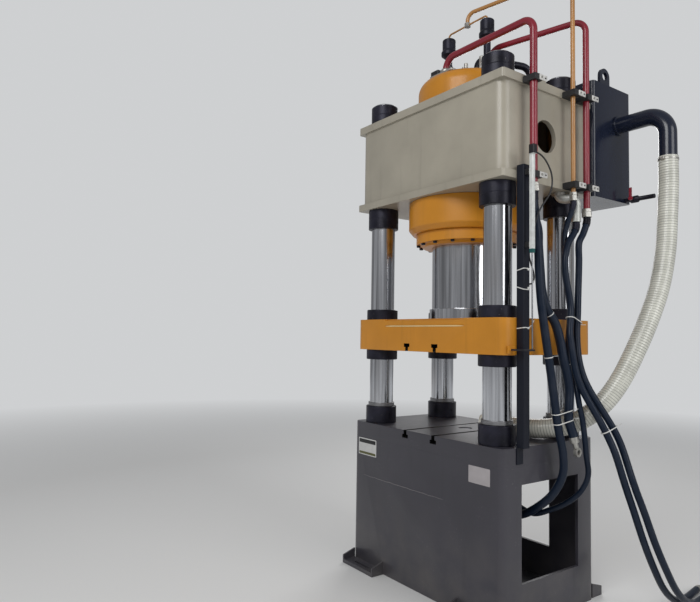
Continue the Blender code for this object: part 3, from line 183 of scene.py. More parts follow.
class Finish:
    """A Principled material put together node by node."""

    def __init__(self, name, base, roughness, metallic=0.0, coat=0.0, gloss=0.5):
        self.material = bpy.data.materials.new(name)
        self.material.use_nodes = True
        self.tree = self.material.node_tree
        self.shader = self.tree.nodes["Principled BSDF"]
        self.set("Base Color", (*base, 1.0))
        self.set("Roughness", roughness)
        self.set("Metallic", metallic)
        self.set("Coat Weight", coat)
        self.set("Coat Roughness", 0.12)
        self.set("Specular IOR Level", gloss)
        self.material.diffuse_color = (*base, 1.0)
        FINISHES[name] = self.material

    def set(self, socket, value):
        """Feed one of the shader's sockets."""
        self.feed(self.shader.inputs[socket], value)

    def feed(self, socket, value):
        if isinstance(value, Signal):
            self.tree.links.new(value.socket, socket)
        else:
            socket.default_value = value

    def node(self, kind, settings, sockets, output=0):
        """Any node: its settings are set first, then its sockets get values or links."""
        made = self.tree.nodes.new(kind)
        for key, value in settings.items():
            setattr(made, key, value)
        for key, value in sockets.items():
            self.feed(made.inputs[key], value)
        return Signal(self, made.outputs[output])

    def maths(self, operation, first, second, clamp=False):
        return self.node("ShaderNodeMath", {"operation": operation, "use_clamp": clamp},
                         {0: first, 1: second})

    def place(self, stretch=(1.0, 1.0, 1.0), source="Object"):
        """Object or UV coordinates, each axis times its stretch."""
        start = self.node("ShaderNodeTexCoord", {}, {}, source)
        return self.node("ShaderNodeMapping", {}, {"Vector": start, "Scale": stretch})

    def axis(self, letter, source="Object"):
        """One coordinate as a number."""
        start = self.node("ShaderNodeTexCoord", {}, {}, source)
        return self.node("ShaderNodeSeparateXYZ", {}, {0: start}, letter)

    def noise(self, scale, detail=3.0, stretch=(1.0, 1.0, 1.0), source="Object"):
        return self.node("ShaderNodeTexNoise", {},
                         {"Vector": self.place(stretch, source), "Scale": scale, "Detail": detail})

    def blend(self, share, first, second):
        """A colour between two."""
        return self.node("ShaderNodeMix", {"data_type": "RGBA"}, {0: share, 6: first, 7: second}, 2)

    def clouded(self, base, scale, detail, low, high, dark, light):
        """Cloudy noise, and the tone that it gives between a darker and a lighter shade of a colour."""
        cloud = self.noise(scale, detail)
        return cloud, self.blend(cloud.between(low, high), shade(base, dark), shade(base, light))

    def bump(self, height, distance, strength=1.0):
        self.set("Normal", self.node("ShaderNodeBump", {}, {"Strength": strength, "Distance": distance,
                                                            "Height": height}))


def shade(base, factor):
    """A colour times a factor, with alpha."""
    return (*[min(1.0, c * factor) for c in base], 1.0)


def slot_shade(finish, low, high, front):
    """1 inside the two T-slots, between two heights and behind the front: where their shade is painted."""
    middle, half = 0.125, 0.0276
    beside = (finish.axis("X").size() - middle).size() < half
    height = finish.axis("Z")
    return beside * (finish.axis("Y").size() < front) * (height > low) * (height < high)


def enamel(name, base, roughness, dust=0.0, coat=0.3, wear=(0.30, 0.28, 0.26), painted_slot_shade=None, gloss=0.5):
    """Sprayed enamel: cloudy tone, faint runs, fine orange peel, specks and dust low down.
    Inside the T-slots, given by two heights and the front's distance, shade is painted on it: near black."""
    finish = Finish(name, base, roughness, coat=coat, gloss=gloss)
    cloud, tone = finish.clouded(base, 2.6, 5.0, 0.3, 0.72, 0.86, 1.12)
    runs = finish.noise(22.0, 3.0, (1.0, 1.0, 0.07))
    tone = finish.blend(runs.between(0.58, 0.8) * 0.35, tone, shade(base, 0.62))
    specks = finish.noise(150.0, 2.0).between(0.70, 0.74) * finish.noise(5.0).between(0.5, 0.62)
    tone = finish.blend(specks * 0.55, tone, (*wear, 1.0))
    if dust > 0.0:
        low = 1.0 - finish.axis("Z").between(0.0, 0.55)
        film = low * finish.noise(7.0, 5.0).between(0.3, 0.75) * dust
        tone = finish.blend(film, tone, (0.13, 0.12, 0.11, 1.0))
    if painted_slot_shade is not None:
        # Painted shade: the T-slots' recesses are coloured near black
        tone = finish.blend(slot_shade(finish, *painted_slot_shade), tone, (0.006, 0.006, 0.006, 1.0))
    finish.set("Base Color", tone)
    finish.set("Roughness", cloud * 0.16 + runs * 0.06 + (roughness - 0.11))
    finish.bump(finish.noise(170.0, 2.0), 0.0006, 0.35)


def blackened(name, base):
    """Oil-blackened steel with turned rings, oily smears and bare specks."""
    finish = Finish(name, base, 0.42, metallic=0.35, gloss=0.3)
    smear = finish.noise(9.0, 5.0)
    rings = finish.noise(90.0, 2.0, (0.02, 0.02, 1.0))
    tone = finish.blend(smear.between(0.35, 0.7), shade(base, 0.7), shade(base, 2.1))
    bare = finish.noise(120.0, 2.0).between(0.70, 0.75)
    finish.set("Base Color", finish.blend(bare * 0.5, tone, (0.22, 0.20, 0.19, 1.0)))
    finish.set("Roughness", smear * 0.3 + 0.24)
    finish.bump(rings, 0.0004, 0.4)


def hard_chrome(name, base):
    """Ground and plated bar: long fine streaks in gloss and tone, with a thin oil film. The streaks in tone
    are grinding marks and painted reflection both.
    """
    finish = Finish(name, base, 0.16, metallic=1.0)
    streak_and_reflection = finish.noise(48.0, 4.0, (1.0, 1.0, 0.02))
    film = finish.noise(4.0, 5.0, (1.0, 1.0, 0.4))
    # Painted reflection in part: the strong light and dark streaks in tone stand for mirrored surroundings
    # as well as grinding marks
    tone = finish.blend(streak_and_reflection.between(0.32, 0.68), shade(base, 0.50), shade(base, 1.2))
    tone = finish.blend(film.between(0.55, 0.8) * 0.4, tone, (0.42, 0.36, 0.30, 1.0))
    finish.set("Base Color", tone)
    finish.set("Roughness", streak_and_reflection * 0.10 + film * 0.12 + 0.05)
    finish.bump(finish.noise(60.0, 2.0, (1.0, 1.0, 0.03)), 0.0003, 0.25)


def plated(name, base, roughness, metallic):
    """Zinc plate or anodised alloy with cloudy patches and fine scratches."""
    finish = Finish(name, base, roughness, metallic=metallic)
    cloud, tone = finish.clouded(base, 30.0, 4.0, 0.35, 0.7, 0.78, 1.1)
    finish.set("Base Color", tone)
    finish.set("Roughness", cloud * 0.25 + (roughness - 0.12))
    finish.bump(finish.noise(300.0, 2.0, (1.0, 1.0, 0.1)), 0.0003, 0.3)


def polymer(name, base, roughness):
    """Moulded plastic with a fine grain."""
    finish = Finish(name, base, roughness)
    cloud = finish.noise(12.0, 3.0)
    finish.set("Base Color", finish.blend(cloud, shade(base, 0.8), shade(base, 1.35)))
    finish.set("Roughness", cloud * 0.15 + (roughness - 0.07))
    finish.bump(finish.noise(500.0, 2.0), 0.0003, 0.4)


def hose_rubber(name, base):
    """Wrapped hose cover: the cloth's diagonal print round it, dust and scuffs along it."""
    finish = Finish(name, base, 0.45, gloss=0.22)
    around = finish.axis("X", "UV")
    along = finish.axis("Y", "UV")
    turns, rows = 24 * math.pi, 900.0
    weave = (around * turns + along * rows).sine() * (around * turns - along * rows).sine()
    dust = finish.noise(14.0, 5.0).between(0.45, 0.8)
    finish.set("Base Color", finish.blend(dust * 0.22, shade(base, 1.0), (0.050, 0.056, 0.072, 1.0)))
    finish.set("Roughness", dust * 0.25 + 0.30)
    finish.bump(weave * 0.5 + 0.5, 0.0004, 0.5)


def milky_hose(name, base, pitch):
    """Milky plastic over a steel wire: darker spiral lines where the wire lies, cloudy between."""
    finish = Finish(name, base, 0.28, coat=0.3)
    around = finish.axis("X", "UV")
    along = finish.axis("Y", "UV")
    turn = (along * (2 * math.pi / pitch) + around * (2 * math.pi)).sine()
    wire = turn.between(0.55, 0.95)
    cloud, tone = finish.clouded(base, 9.0, 4.0, 0.3, 0.7, 0.82, 1.12)
    finish.set("Base Color", finish.blend(wire * 0.75, tone, (0.23, 0.23, 0.21, 1.0)))
    finish.set("Roughness", cloud * 0.2 + 0.2)
    finish.bump(finish.noise(90.0, 3.0), 0.0006, 0.3)


def two_ended(name, base, cap, foot, cap_low, foot_high, side):
    """Pale extruded housing with a dark head above one height, a coloured cap below another and
    dark holders behind one x."""
    finish = Finish(name, base, 0.4, metallic=0.2)
    height = finish.axis("Z")
    cloud, tone = finish.clouded(base, 30.0, 4.0, 0.35, 0.7, 0.85, 1.08)
    tone = finish.blend(height > cap_low, tone, (*cap, 1.0))
    tone = finish.blend(height < foot_high, tone, (*foot, 1.0))
    finish.set("Base Color", finish.blend(finish.axis("X") < side, tone, (*cap, 1.0)))
    finish.set("Roughness", cloud * 0.2 + 0.28)
    finish.bump(finish.noise(300.0, 2.0, (1.0, 1.0, 0.1)), 0.0003, 0.3)


def half_painted(name, base, bare, beyond):
    """Enamel up to one x and blackened steel beyond it."""
    finish = Finish(name, base, 0.4, gloss=0.35)
    cloud, tone = finish.clouded(base, 14.0, 4.0, 0.3, 0.7, 0.86, 1.1)
    finish.set("Base Color", finish.blend(finish.axis("X") > beyond, tone, (*bare, 1.0)))
    finish.set("Roughness", cloud * 0.2 + 0.3)
    finish.bump(finish.noise(170.0, 2.0), 0.0005, 0.35)


def plain(name, base, roughness, metallic=0.0):
    """Small flat pieces such as blank plates and ties, slightly mottled."""
    finish = Finish(name, base, roughness, metallic=metallic)
    cloud = finish.noise(25.0, 3.0)
    finish.set("Base Color", finish.blend(cloud, shade(base, 0.86), shade(base, 1.08)))
    finish.set("Roughness", cloud * 0.2 + (roughness - 0.1))


def slot_reach(node):
    """How far the painted shade in a node's T-slots reaches: its front's distance, less the eased lips."""
    return -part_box(node)[0].y - 0.003


def make_finishes(paints, sizes):
    """Every finish, by the name that the pieces ask for."""
    enamel("bed_enamel", paints.bed, 0.42, dust=0.5, coat=0.25)
    # The table's and the slide's T-slots get painted shade
    enamel("table_enamel", paints.bed, 0.38, coat=0.25, painted_slot_shade=(0.880, 0.9395, slot_reach("table")))
    enamel("post_enamel", paints.post, 0.45, coat=0.05, wear=(0.05, 0.05, 0.06), gloss=0.25)
    enamel("crown_enamel", paints.crown, 0.40, coat=0.2, wear=(0.25, 0.22, 0.18))
    for name, painted_slot_shade in (("orange_enamel", None), ("slide_enamel", (1.4305, 1.480, slot_reach("slide")))):
        enamel(name, paints.orange, 0.36, coat=0.15, wear=(0.28, 0.16, 0.07), painted_slot_shade=painted_slot_shade, gloss=0.35)
    # Painted highlight for the rib
    enamel("rib_painted_highlight", paints.rib, 0.40, coat=0.1)
    enamel("tank_enamel", paints.tank, 0.25, coat=0.35, wear=(0.06, 0.07, 0.09), gloss=0.35)
    enamel("red_enamel", paints.red, 0.32, coat=0.3, gloss=0.4)
    enamel("ochre_enamel", paints.ochre, 0.35, coat=0.3)
    blackened("black_steel", paints.steel)
    hard_chrome("hard_chrome", paints.chrome)
    plated("zinc", (0.47, 0.46, 0.43), 0.42, 0.8)
    plated("bright_zinc", (0.74, 0.73, 0.70), 0.40, 0.35)
    plated("grey_steel", (0.27, 0.27, 0.28), 0.36, 0.85)
    plated("pale_alloy", (0.56, 0.57, 0.54), 0.42, 0.35)
    two_ended("transducer_alloy", (0.76, 0.78, 0.76), cap=(0.012, 0.012, 0.014), foot=(0.012, 0.10, 0.095),
              cap_low=2.5065, foot_high=1.996, side=0.7302)
    half_painted("arm_enamel", paints.orange, bare=(0.014, 0.014, 0.018), beyond=0.664)
    polymer("black_polymer", (0.012, 0.012, 0.014), 0.5)
    polymer("cable", (0.010, 0.010, 0.012), 0.45)
    hose_rubber("rubber", paints.rubber)
    milky_hose("milky_hose", paints.milky, sizes.wire_pitch)
    plain("tie_white", (0.70, 0.70, 0.68), 0.45)
    plain("plate_white", (0.60, 0.60, 0.59), 0.4)
    plain("plate_black", (0.012, 0.012, 0.014), 0.4)
    plain("plate_olive", (0.10, 0.10, 0.03), 0.4)
    plain("label_pale", (0.43, 0.40, 0.41), 0.5)
    plain("bright_scratch", (0.22, 0.21, 0.22), 0.35, 0.3)
    # Painted shade of the clamp plates' slotted holes
    plain("hole_painted_shade", (0.006, 0.006, 0.007), 0.8)


# Surfaces worked out with numpy

def surface(name, points, ring=False):
    """A mesh from a grid of points[row, column, xyz]: rows run along it, columns run round it.

    Each grid cell is a quad, a cap is a fan on the middle of its row, and the UV map holds
    the share of the way round and the metres along.
    """
    rows, columns = points.shape[:2]
    i, j = np.meshgrid(np.arange(rows if ring else rows - 1),
                       np.arange(columns), indexing="ij")
    i, j = i.ravel(), j.ravel()
    below, beside = (i + 1) % rows, (j + 1) % columns
    quads = np.stack([i * columns + j, i * columns + beside, below * columns + beside,
                      below * columns + j], axis=1)
    steps = np.linalg.norm(np.diff(points.mean(axis=1), axis=0), axis=1)
    flat = np.linalg.norm(np.diff(points[:, 0], axis=0), axis=1)
    along = np.concatenate([[0.0], np.cumsum(np.maximum(steps, flat)), [0.0]])
    along[-1] = along[-2]
    u = np.stack([j, j + 1, j + 1, j], axis=1) / columns
    v = np.stack([along[i], along[i], along[i + 1], along[i + 1]], axis=1)
    vertices = points.reshape(-1, 3)
    faces = quads.tolist()
    uv = np.stack([u, v], axis=-1).reshape(-1, 2)
    if not ring:
        for row, height in ((0, 0.0), (rows - 1, along[rows - 1])):
            middle = len(vertices)
            vertices = np.vstack([vertices, points[row].mean(axis=0)])
            edge = row * columns + np.arange(columns)
            fan = np.stack([np.full(columns, middle), edge, np.roll(edge, -1)], axis=1)
            faces += fan.tolist()
            corner = np.stack([np.full(columns * 3, 0.5), np.full(columns * 3, height)], axis=1)
            uv = np.vstack([uv, corner])
    mesh = bpy.data.meshes.new(name)
    mesh.from_pydata(vertices.tolist(), [], faces)
    mesh.uv_layers.new(name="along")
    mesh.uv_layers[0].uv.foreach_set("vector", uv.ravel())
    return mesh


def settle(name, mesh, finish, body="frame", node=None):
    """Link a finished mesh as a piece: normals outwards, material, body and the node it stands for."""
    bm = bmesh.new()
    bm.from_mesh(mesh)
    bmesh.ops.recalc_face_normals(bm, faces=bm.faces)
    bm.to_mesh(mesh)
    bm.free()
    mesh.shade_smooth()
    mesh.set_sharp_from_angle(angle=math.radians(40.0))
    piece = bpy.data.objects.new(name, mesh)
    bpy.context.scene.collection.objects.link(piece)
    piece.data.materials.append(FINISHES[finish])
    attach(piece, body)
    if node is not None:
        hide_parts(node)
    return piece


def eased(outline, radius, steps=3, closed=False):
    """An outline with rounded corners: each corner P becomes (1-t)²A + 2t(1-t)P + t²B, where A
    and B lie a radius before and after it, and a holding point beyond each keeps flats flat."""
    points = np.asarray(outline, float)
    before = np.roll(points, 1, axis=0) if closed else points[:-2]
    after = np.roll(points, -1, axis=0) if closed else points[2:]
    corner = points if closed else points[1:-1]
    back, ahead = before - corner, after - corner
    back_length = np.linalg.norm(back, axis=1, keepdims=True)
    ahead_length = np.linalg.norm(ahead, axis=1, keepdims=True)
    reach = np.minimum(radius, 0.35 * np.minimum(back_length, ahead_length))
    back, ahead = back / back_length, ahead / ahead_length
    first, last = corner + back * reach, corner + ahead * reach
    t = np.linspace(0.0, 1.0, steps + 1)[None, :, None]
    curve = (1 - t) ** 2 * first[:, None] + 2 * t * (1 - t) * corner[:, None] + t ** 2 * last[:, None]
    hold = 1.35
    curve = np.concatenate([(corner + back * reach * hold)[:, None], curve,
                            (corner + ahead * reach * hold)[:, None]], axis=1)
    curve = curve.reshape(-1, points.shape[1])
    if closed:
        return curve
    return np.vstack([points[:1], curve, points[-1:]])


def axes_of(direction):
    """Two unit vectors square to a direction, and the direction itself."""
    forward = np.asarray(direction, float)
    forward = forward / np.linalg.norm(forward)
    helper = np.array([0.0, 0.0, 1.0]) if abs(forward[2]) < 0.9 else np.array([1.0, 0.0, 0.0])
    side = np.cross(helper, forward)
    side = side / np.linalg.norm(side)
    return side, np.cross(forward, side), forward


def turned(outline, centre, direction=(0, 0, 1), fine=1, ring=False):
    """A turned surface: outline (r, h) goes to centre + r(cos a · side + sin a · up) + h · forward."""
    outline = np.asarray(outline, float)
    side, up, forward = axes_of(direction)
    facets = bpy.context.scene.press_sizes.facets * fine
    a = np.linspace(0.0, 2 * math.pi, facets, endpoint=False)
    circle = np.cos(a)[:, None] * side + np.sin(a)[:, None] * up
    points = (np.asarray(centre, float) + outline[:, 0, None, None] * circle[None]
              + outline[:, 1, None, None] * forward)
    return surface("turned", points, ring=ring)


def swept(path, radius, reference, facets=24):
    """A round tube: each path point carries radius(cos a · side + sin a · up), where side is
    square to the path's direction and to one fixed reference. The radius is one number, or one for
    each path point, or one for each point of the tube."""
    path = np.asarray(path, float)
    tangent = np.gradient(path, axis=0)
    tangent /= np.linalg.norm(tangent, axis=1, keepdims=True)
    side = np.cross(tangent, np.asarray(reference, float))
    side /= np.linalg.norm(side, axis=1, keepdims=True)
    up = np.cross(side, tangent)
    a = np.linspace(0.0, 2 * math.pi, facets, endpoint=False)
    size = np.asarray(radius, float)
    if size.ndim < 2:
        size = np.broadcast_to(size, (len(path),))[:, None]
    ring = np.cos(a)[None, :, None] * side[:, None] + np.sin(a)[None, :, None] * up[:, None]
    return surface("swept", path[:, None] + size[..., None] * ring)


def bent(corners, bend, steps=12):
    """A pipe's centre line: straight runs joined by arcs of one bend radius."""
    corners = [Vector(c) for c in corners]
    path = [corners[0]]
    for before, corner, after in zip(corners, corners[1:], corners[2:]):
        back = (before - corner).normalized()
        ahead = (after - corner).normalized()
        half = back.angle(ahead) / 2
        centre = corner + (back + ahead).normalized() * (bend / math.sin(half))
        first = corner + back * (bend / math.tan(half)) - centre
        normal = first.cross(corner + ahead * (bend / math.tan(half)) - centre).normalized()
        for k in range(steps + 1):
            path.append(centre + Matrix.Rotation((math.pi - 2 * half) * k / steps, 3, normal) @ first)
    path.append(corners[-1])
    return np.array([tuple(p) for p in path])


def flowing(route, step):
    """Points about a step apart on a Catmull-Rom curve through a route, straight at both ends."""
    route = np.asarray(route, float)
    ends = np.vstack([route[0] * 2 - route[1], route, route[-1] * 2 - route[-2]])
    a, b, c, d = (ends[k:len(ends) - 3 + k, None] for k in range(4))
    t = np.linspace(0.0, 1.0, 24, endpoint=False)[None, :, None]
    dense = 0.5 * (2 * b + (c - a) * t + (2 * a - 5 * b + 4 * c - d) * t ** 2
                   + (3 * b - a - 3 * c + d) * t ** 3)
    dense = np.vstack([dense.reshape(-1, 3), route[-1]])
    whole = lengths_of(dense)[-1]
    return stretch(dense, whole, max(2, round(whole / step)) + 1)


def lengths_of(path):
    """The length of a path up to each of its points."""
    return np.concatenate([[0.0], np.cumsum(np.linalg.norm(np.diff(path, axis=0), axis=1))])


def stretch(path, end, count):
    """A number of points evenly spaced along a path, from its start to a length on it."""
    goals = np.linspace(0.0, end, count)
    return np.stack([np.interp(goals, lengths_of(path), path[:, k]) for k in range(3)], axis=1)


def rounded(half, corner, steps):
    """A rounded rectangle of two half widths: the hub of each point's corner arc, and its angle."""
    quarter = np.linspace(0.0, math.pi / 2, steps)
    angle = (quarter[None] + np.arange(4)[:, None] * math.pi / 2).ravel()
    sign = np.array([[1, 1], [-1, 1], [-1, -1], [1, -1]]).repeat(steps, axis=0)
    return sign * (half - corner), angle


def slab(low, high, corner, edge, direction="Z"):
    """A plate with rounded upright corners and eased rims: a rounded rectangle drawn in
    toward its middle by e(1 - sin t) while it rises by e(1 - cos t) at each rim."""
    low, high = np.asarray(low, float), np.asarray(high, float)
    order = {"Z": (0, 1, 2), "Y": (2, 0, 1), "X": (1, 2, 0)}[direction]
    size = (high - low)[list(order)]
    middle = ((high + low) / 2)[list(order)]
    corner = max(min(corner, size[0] / 2.01, size[1] / 2.01), edge * 1.01)
    hub, angle = rounded(size[:2] / 2, corner, 6)
    t = np.linspace(0.0, math.pi / 2, 4)
    inset = np.concatenate([edge * (1 - np.sin(t)), [0.0, 0.0], edge * (1 - np.sin(t[::-1]))])
    rise = edge * (1 - np.cos(t))
    lift = np.concatenate([rise, [edge * 1.4, size[2] - edge * 1.4], size[2] - rise[::-1]])
    radius = corner - inset
    points = np.empty((len(lift), len(angle), 3))
    points[:, :, 0] = hub[None, :, 0] + radius[:, None] * np.cos(angle) + middle[0]
    points[:, :, 1] = hub[None, :, 1] + radius[:, None] * np.sin(angle) + middle[1]
    points[:, :, 2] = lift[:, None] + middle[2] - size[2] / 2
    back = np.argsort(order)
    return surface("slab", points[:, :, back])


def band(centre, side, up, half, corner, height, thick):
    """A strap round a bundle: a rounded rectangle of two half widths in the plane of side and up,
    where each point is hub + r(cos a · side + sin a · up), with a section of height by thick."""
    side, up = np.asarray(side, float), np.asarray(up, float)
    forward = np.cross(side, up)
    hub, angle = rounded(np.asarray(half, float), corner, 8)
    section = np.array([(0.0, -0.5), (thick, -0.5), (thick, 0.5), (0.0, 0.5)])
    radius = corner + section[:, 0]
    circle = np.stack([np.cos(angle), np.sin(angle)], axis=1)
    flat = hub[:, None] + radius[None, :, None] * circle[:, None]
    points = (np.asarray(centre, float) + flat[..., :1] * side + flat[..., 1:] * up
              + (section[:, 1] * height)[None, :, None] * forward)
    return surface("band", points, ring=True)


def hexagon(centre, across, height, direction=(0, 0, 1)):
    """A hexagonal nut or bolt head with chamfered corners, along a direction from centre."""
    side, up, forward = axes_of(direction)
    a = np.linspace(0.0, 2 * math.pi, 36, endpoint=False)
    sector = (a + math.pi / 6) % (math.pi / 3) - math.pi / 6
    flat = across / 2 / np.cos(sector)
    round_part = np.minimum(flat, across / 2 * 1.06)
    heights = [0.0, height * 0.85, height, height]
    radii = [flat, flat, round_part, np.full_like(a, across * 0.2)]
    circle = np.cos(a)[:, None] * side + np.sin(a)[:, None] * up
    points = np.stack([np.asarray(centre, float) + r[:, None] * circle + h * forward
                       for r, h in zip(radii, heights)])
    return surface("hexagon", points)


def joined(meshes):
    """Several meshes as one."""
    bm = bmesh.new()
    for mesh in meshes:
        bm.from_mesh(mesh)
        bpy.data.meshes.remove(mesh)
    mesh = bpy.data.meshes.new("joined")
    bm.to_mesh(mesh)
    bm.free()
    return mesh


def mixed(tree, share, first, second, output):
    """Two shaders mixed by a socket, linked to the tree's output."""
    mix = tree.nodes.new("ShaderNodeMixShader")
    for source, socket in zip((share, first.outputs[0], second.outputs[0]), mix.inputs):
        tree.links.new(source, socket)
    tree.links.new(mix.outputs[0], tree.nodes[output].inputs["Surface"])


def refined(node, width, finish, body="frame", segments=2, angle=32.0, seam=None):
    """A CAD node's own shape with its edges eased: a merged copy with a bevel, which stands for it.
    The edges at the seam's height stay as they are."""
    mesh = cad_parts[node].data.copy()
    mesh.materials.clear()
    bm = bmesh.new()
    bm.from_mesh(mesh)
    bmesh.ops.remove_doubles(bm, verts=bm.verts, dist=0.00002)
    bmesh.ops.dissolve_limit(bm, angle_limit=math.radians(0.6), verts=bm.verts, edges=bm.edges)
    weight = bm.edges.layers.float.new("bevel_weight_edge")
    for edge in bm.edges:
        at_seam = seam is not None and all(abs(vert.co.z - seam) < 0.0005 for vert in edge.verts)
        edge[weight] = float(edge.calc_face_angle(0.0) > math.radians(angle) and not at_seam)
    bm.to_mesh(mesh)
    bm.free()
    piece = settle(node + "_skin", mesh, finish, body, node)
    bevel = piece.modifiers.new("eased_edges", "BEVEL")
    bevel.width = width
    bevel.segments = segments
    bevel.limit_method = "WEIGHT"
    bevel.harden_normals = True
    return piece


def spot(node):
    """A node's middle in plan, its lowest and highest z and its half width."""
    low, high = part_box(node)
    return (low.x + high.x) / 2, (low.y + high.y) / 2, low.z, high.z, (high.x - low.x) / 2


def bolt_ring(centre, radius, angles, across, height, down=False):
    """Hexagon heads on an upright circle, at the given angles, as one mesh."""
    x, y, z = centre
    way = (0, 0, -1 if down else 1)
    return joined([hexagon((x + radius * math.cos(a), y + radius * math.sin(a), z), across, height, way)
                   for a in angles])


def lathe(name, outline, at, finish, direction=(0, 0, 1), fine=1, ring=False, ease=0.002, **options):
    """A turned piece with eased corners, settled with the options of settle."""
    mesh = turned(eased(outline, ease, closed=ring), at, direction, fine, ring)
    return settle(name, mesh, finish, **options)


def piped(name, corners, bend, diameter, reference, finish, facets=32, steps=20, node=None):
    """A pipe of straight runs joined by bends."""
    tube = swept(bent(corners, bend, steps), diameter / 2, reference, facets)
    return settle(name, tube, finish, node=node)


# The pieces

class PressPiece(bpy.types.Operator):
    """Common base of the piece operators."""
    bl_options = {"REGISTER"}

    def execute(self, context):
        self.build(context.scene.press_sizes)
        return {"FINISHED"}


class PRESS_OT_bed(PressPiece):
    """Bed with its blank plates and scratch, and the slotted table"""
    bl_idname = "press.bed"
    bl_label = "Bed and table"

    # Plates on the front: name, lower and upper corner in x and z, distance before the front, finish
    plates = (
        ("rating_plate", (-0.600, 0.722), (-0.409, 0.833), 0.0, "plate_white"),
        ("rating_head", (-0.592, 0.802), (-0.417, 0.826), 0.0012, "plate_black"),
        ("rating_foot", (-0.592, 0.729), (-0.417, 0.744), 0.0012, "plate_olive"),
        ("blank_label", (0.412, 0.731), (0.566, 0.823), 0.0, "label_pale"),
    )
    foot_reach = 0.093
    thick = 0.0012

    def build(self, sizes):
        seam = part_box("table")[0].z
        refined("bed", sizes.edge, "bed_enamel", seam=seam)
        refined("table", sizes.edge, "table_enamel", seam=seam)
        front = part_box("bed")[0].y + self.foot_reach
        for name, low, high, before, finish in self.plates:
            y = front - before
            mesh = slab((low[0], y - self.thick, low[1]), (high[0], y + 0.0005, high[1]), 0.004, 0.0004,
                        direction="Y")
            settle(name, mesh, finish)
        self.scratch(front)

    def scratch(self, front):
        """A fine bright line across the front: z waves by 1.5 mm · sin 47s · sin 13s along its share s,
        and the radius is 1.8 mm · (sin pi s) to the power 0.4, plus 0.4 mm."""
        left, long, height, count = -0.546, 0.763, 0.589, 90
        share = np.linspace(0.0, 1.0, count)
        wave = 0.0015 * np.sin(share * 47.0) * np.sin(share * 13.0)
        line = np.stack([left + long * share, np.full(count, front - 0.0002), height + wave], axis=1)
        size = 0.0018 * np.sin(math.pi * share) ** 0.4 + 0.0004
        settle("front_scratch", swept(line, size, (0, 0, 1), 8), "bright_scratch")


class PRESS_OT_columns(PressPiece):
    """Columns, their nuts and the slide's bushes"""
    bl_idname = "press.columns"
    bl_label = "Columns and nuts"

    def build(self, sizes):
        for name in COLUMNS:
            self.column(name)
            self.table_nut(name)
            self.plain_nut(name + "_crown_nut")
            self.plain_nut(name + "_top_nut")
            self.bush(name)

    def column(self, name):
        """A plated bar with a chamfer and a centre drilling on top, and its collar below the table."""
        x, y, low, top, collar = spot(name + "_column")
        step, chamfer = low + 0.07, 0.006
        outline = [(0.018, top - 0.012), (0.024, top), (COLUMN_R - chamfer, top), (COLUMN_R, top - chamfer),
                   (COLUMN_R, step), (collar, step), (collar, low), (0.02, low)]
        lathe(name + "_bar", outline, (x, y, 0), "hard_chrome", node=name + "_column")

    def table_nut(self, name):
        """A blackened ring nut with a grey locking collar on it, and its lock screw."""
        x, y, low, top, radius = spot(name + "_table_nut")
        collar, chamfer = 0.088, 0.003
        shelf = top - 0.024
        nut = [(COLUMN_BORE, shelf), (radius - chamfer, shelf), (radius, shelf - chamfer), (radius, low),
               (COLUMN_BORE, low)]
        lathe(name + "_ring_nut", nut, (x, y, 0), "black_steel", ring=True, ease=0.0025,
              node=name + "_table_nut")
        ring = [(COLUMN_BORE, top), (collar, top), (collar, shelf + GAP), (COLUMN_BORE, shelf + GAP)]
        lathe(name + "_lock_collar", ring, (x, y, 0), "grey_steel", ring=True)
        screw = hexagon((x + radius - 0.004, y, (low + shelf) / 2), 0.016, 0.008, (1, 0, 0))
        settle(name + "_lock_screw", screw, "black_steel")

    def plain_nut(self, node):
        """A blackened ring nut with chamfers and a turned groove."""
        x, y, low, top, radius = spot(node)
        middle, chamfer, groove, deep = (low + top) / 2, 0.003, 0.002, 0.0015
        outline = [(COLUMN_BORE, top), (radius - chamfer, top), (radius, top - chamfer),
                   (radius, middle + groove), (radius - deep, middle), (radius, middle - groove),
                   (radius, low + chamfer), (radius - chamfer, low), (COLUMN_BORE, low)]
        lathe(node + "_ring", outline, (x, y, 0), "black_steel", ring=True, ease=0.001,
              node=node)

    def bush(self, name):
        """A flanged guide bush: a black wiper housing above and below the slide."""
        x, y, low, top, radius = spot(name + "_bush")
        slide_low, slide_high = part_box("slide")
        sleeve, chamfer = 0.098, 0.004
        outline = [(COLUMN_BORE, top), (radius - chamfer, top), (radius, top - chamfer),
                   (radius, slide_high.z + GAP), (sleeve, slide_high.z + GAP),
                   (sleeve, slide_low.z - GAP), (radius, slide_low.z - GAP), (radius, low + chamfer),
                   (radius - chamfer, low), (COLUMN_BORE, low)]
        lathe(name + "_guide", outline, (x, y, 0), "black_steel", ring=True, ease=0.0015,
              body="slide", node=name + "_bush")


class PRESS_OT_crown(PressPiece):
    """Crown with its lips, side holes and lifting lugs"""
    bl_idname = "press.crown"
    bl_label = "Crown"

    def build(self, sizes):
        refined("crown", sizes.crown_edge, "crown_enamel", segments=3)


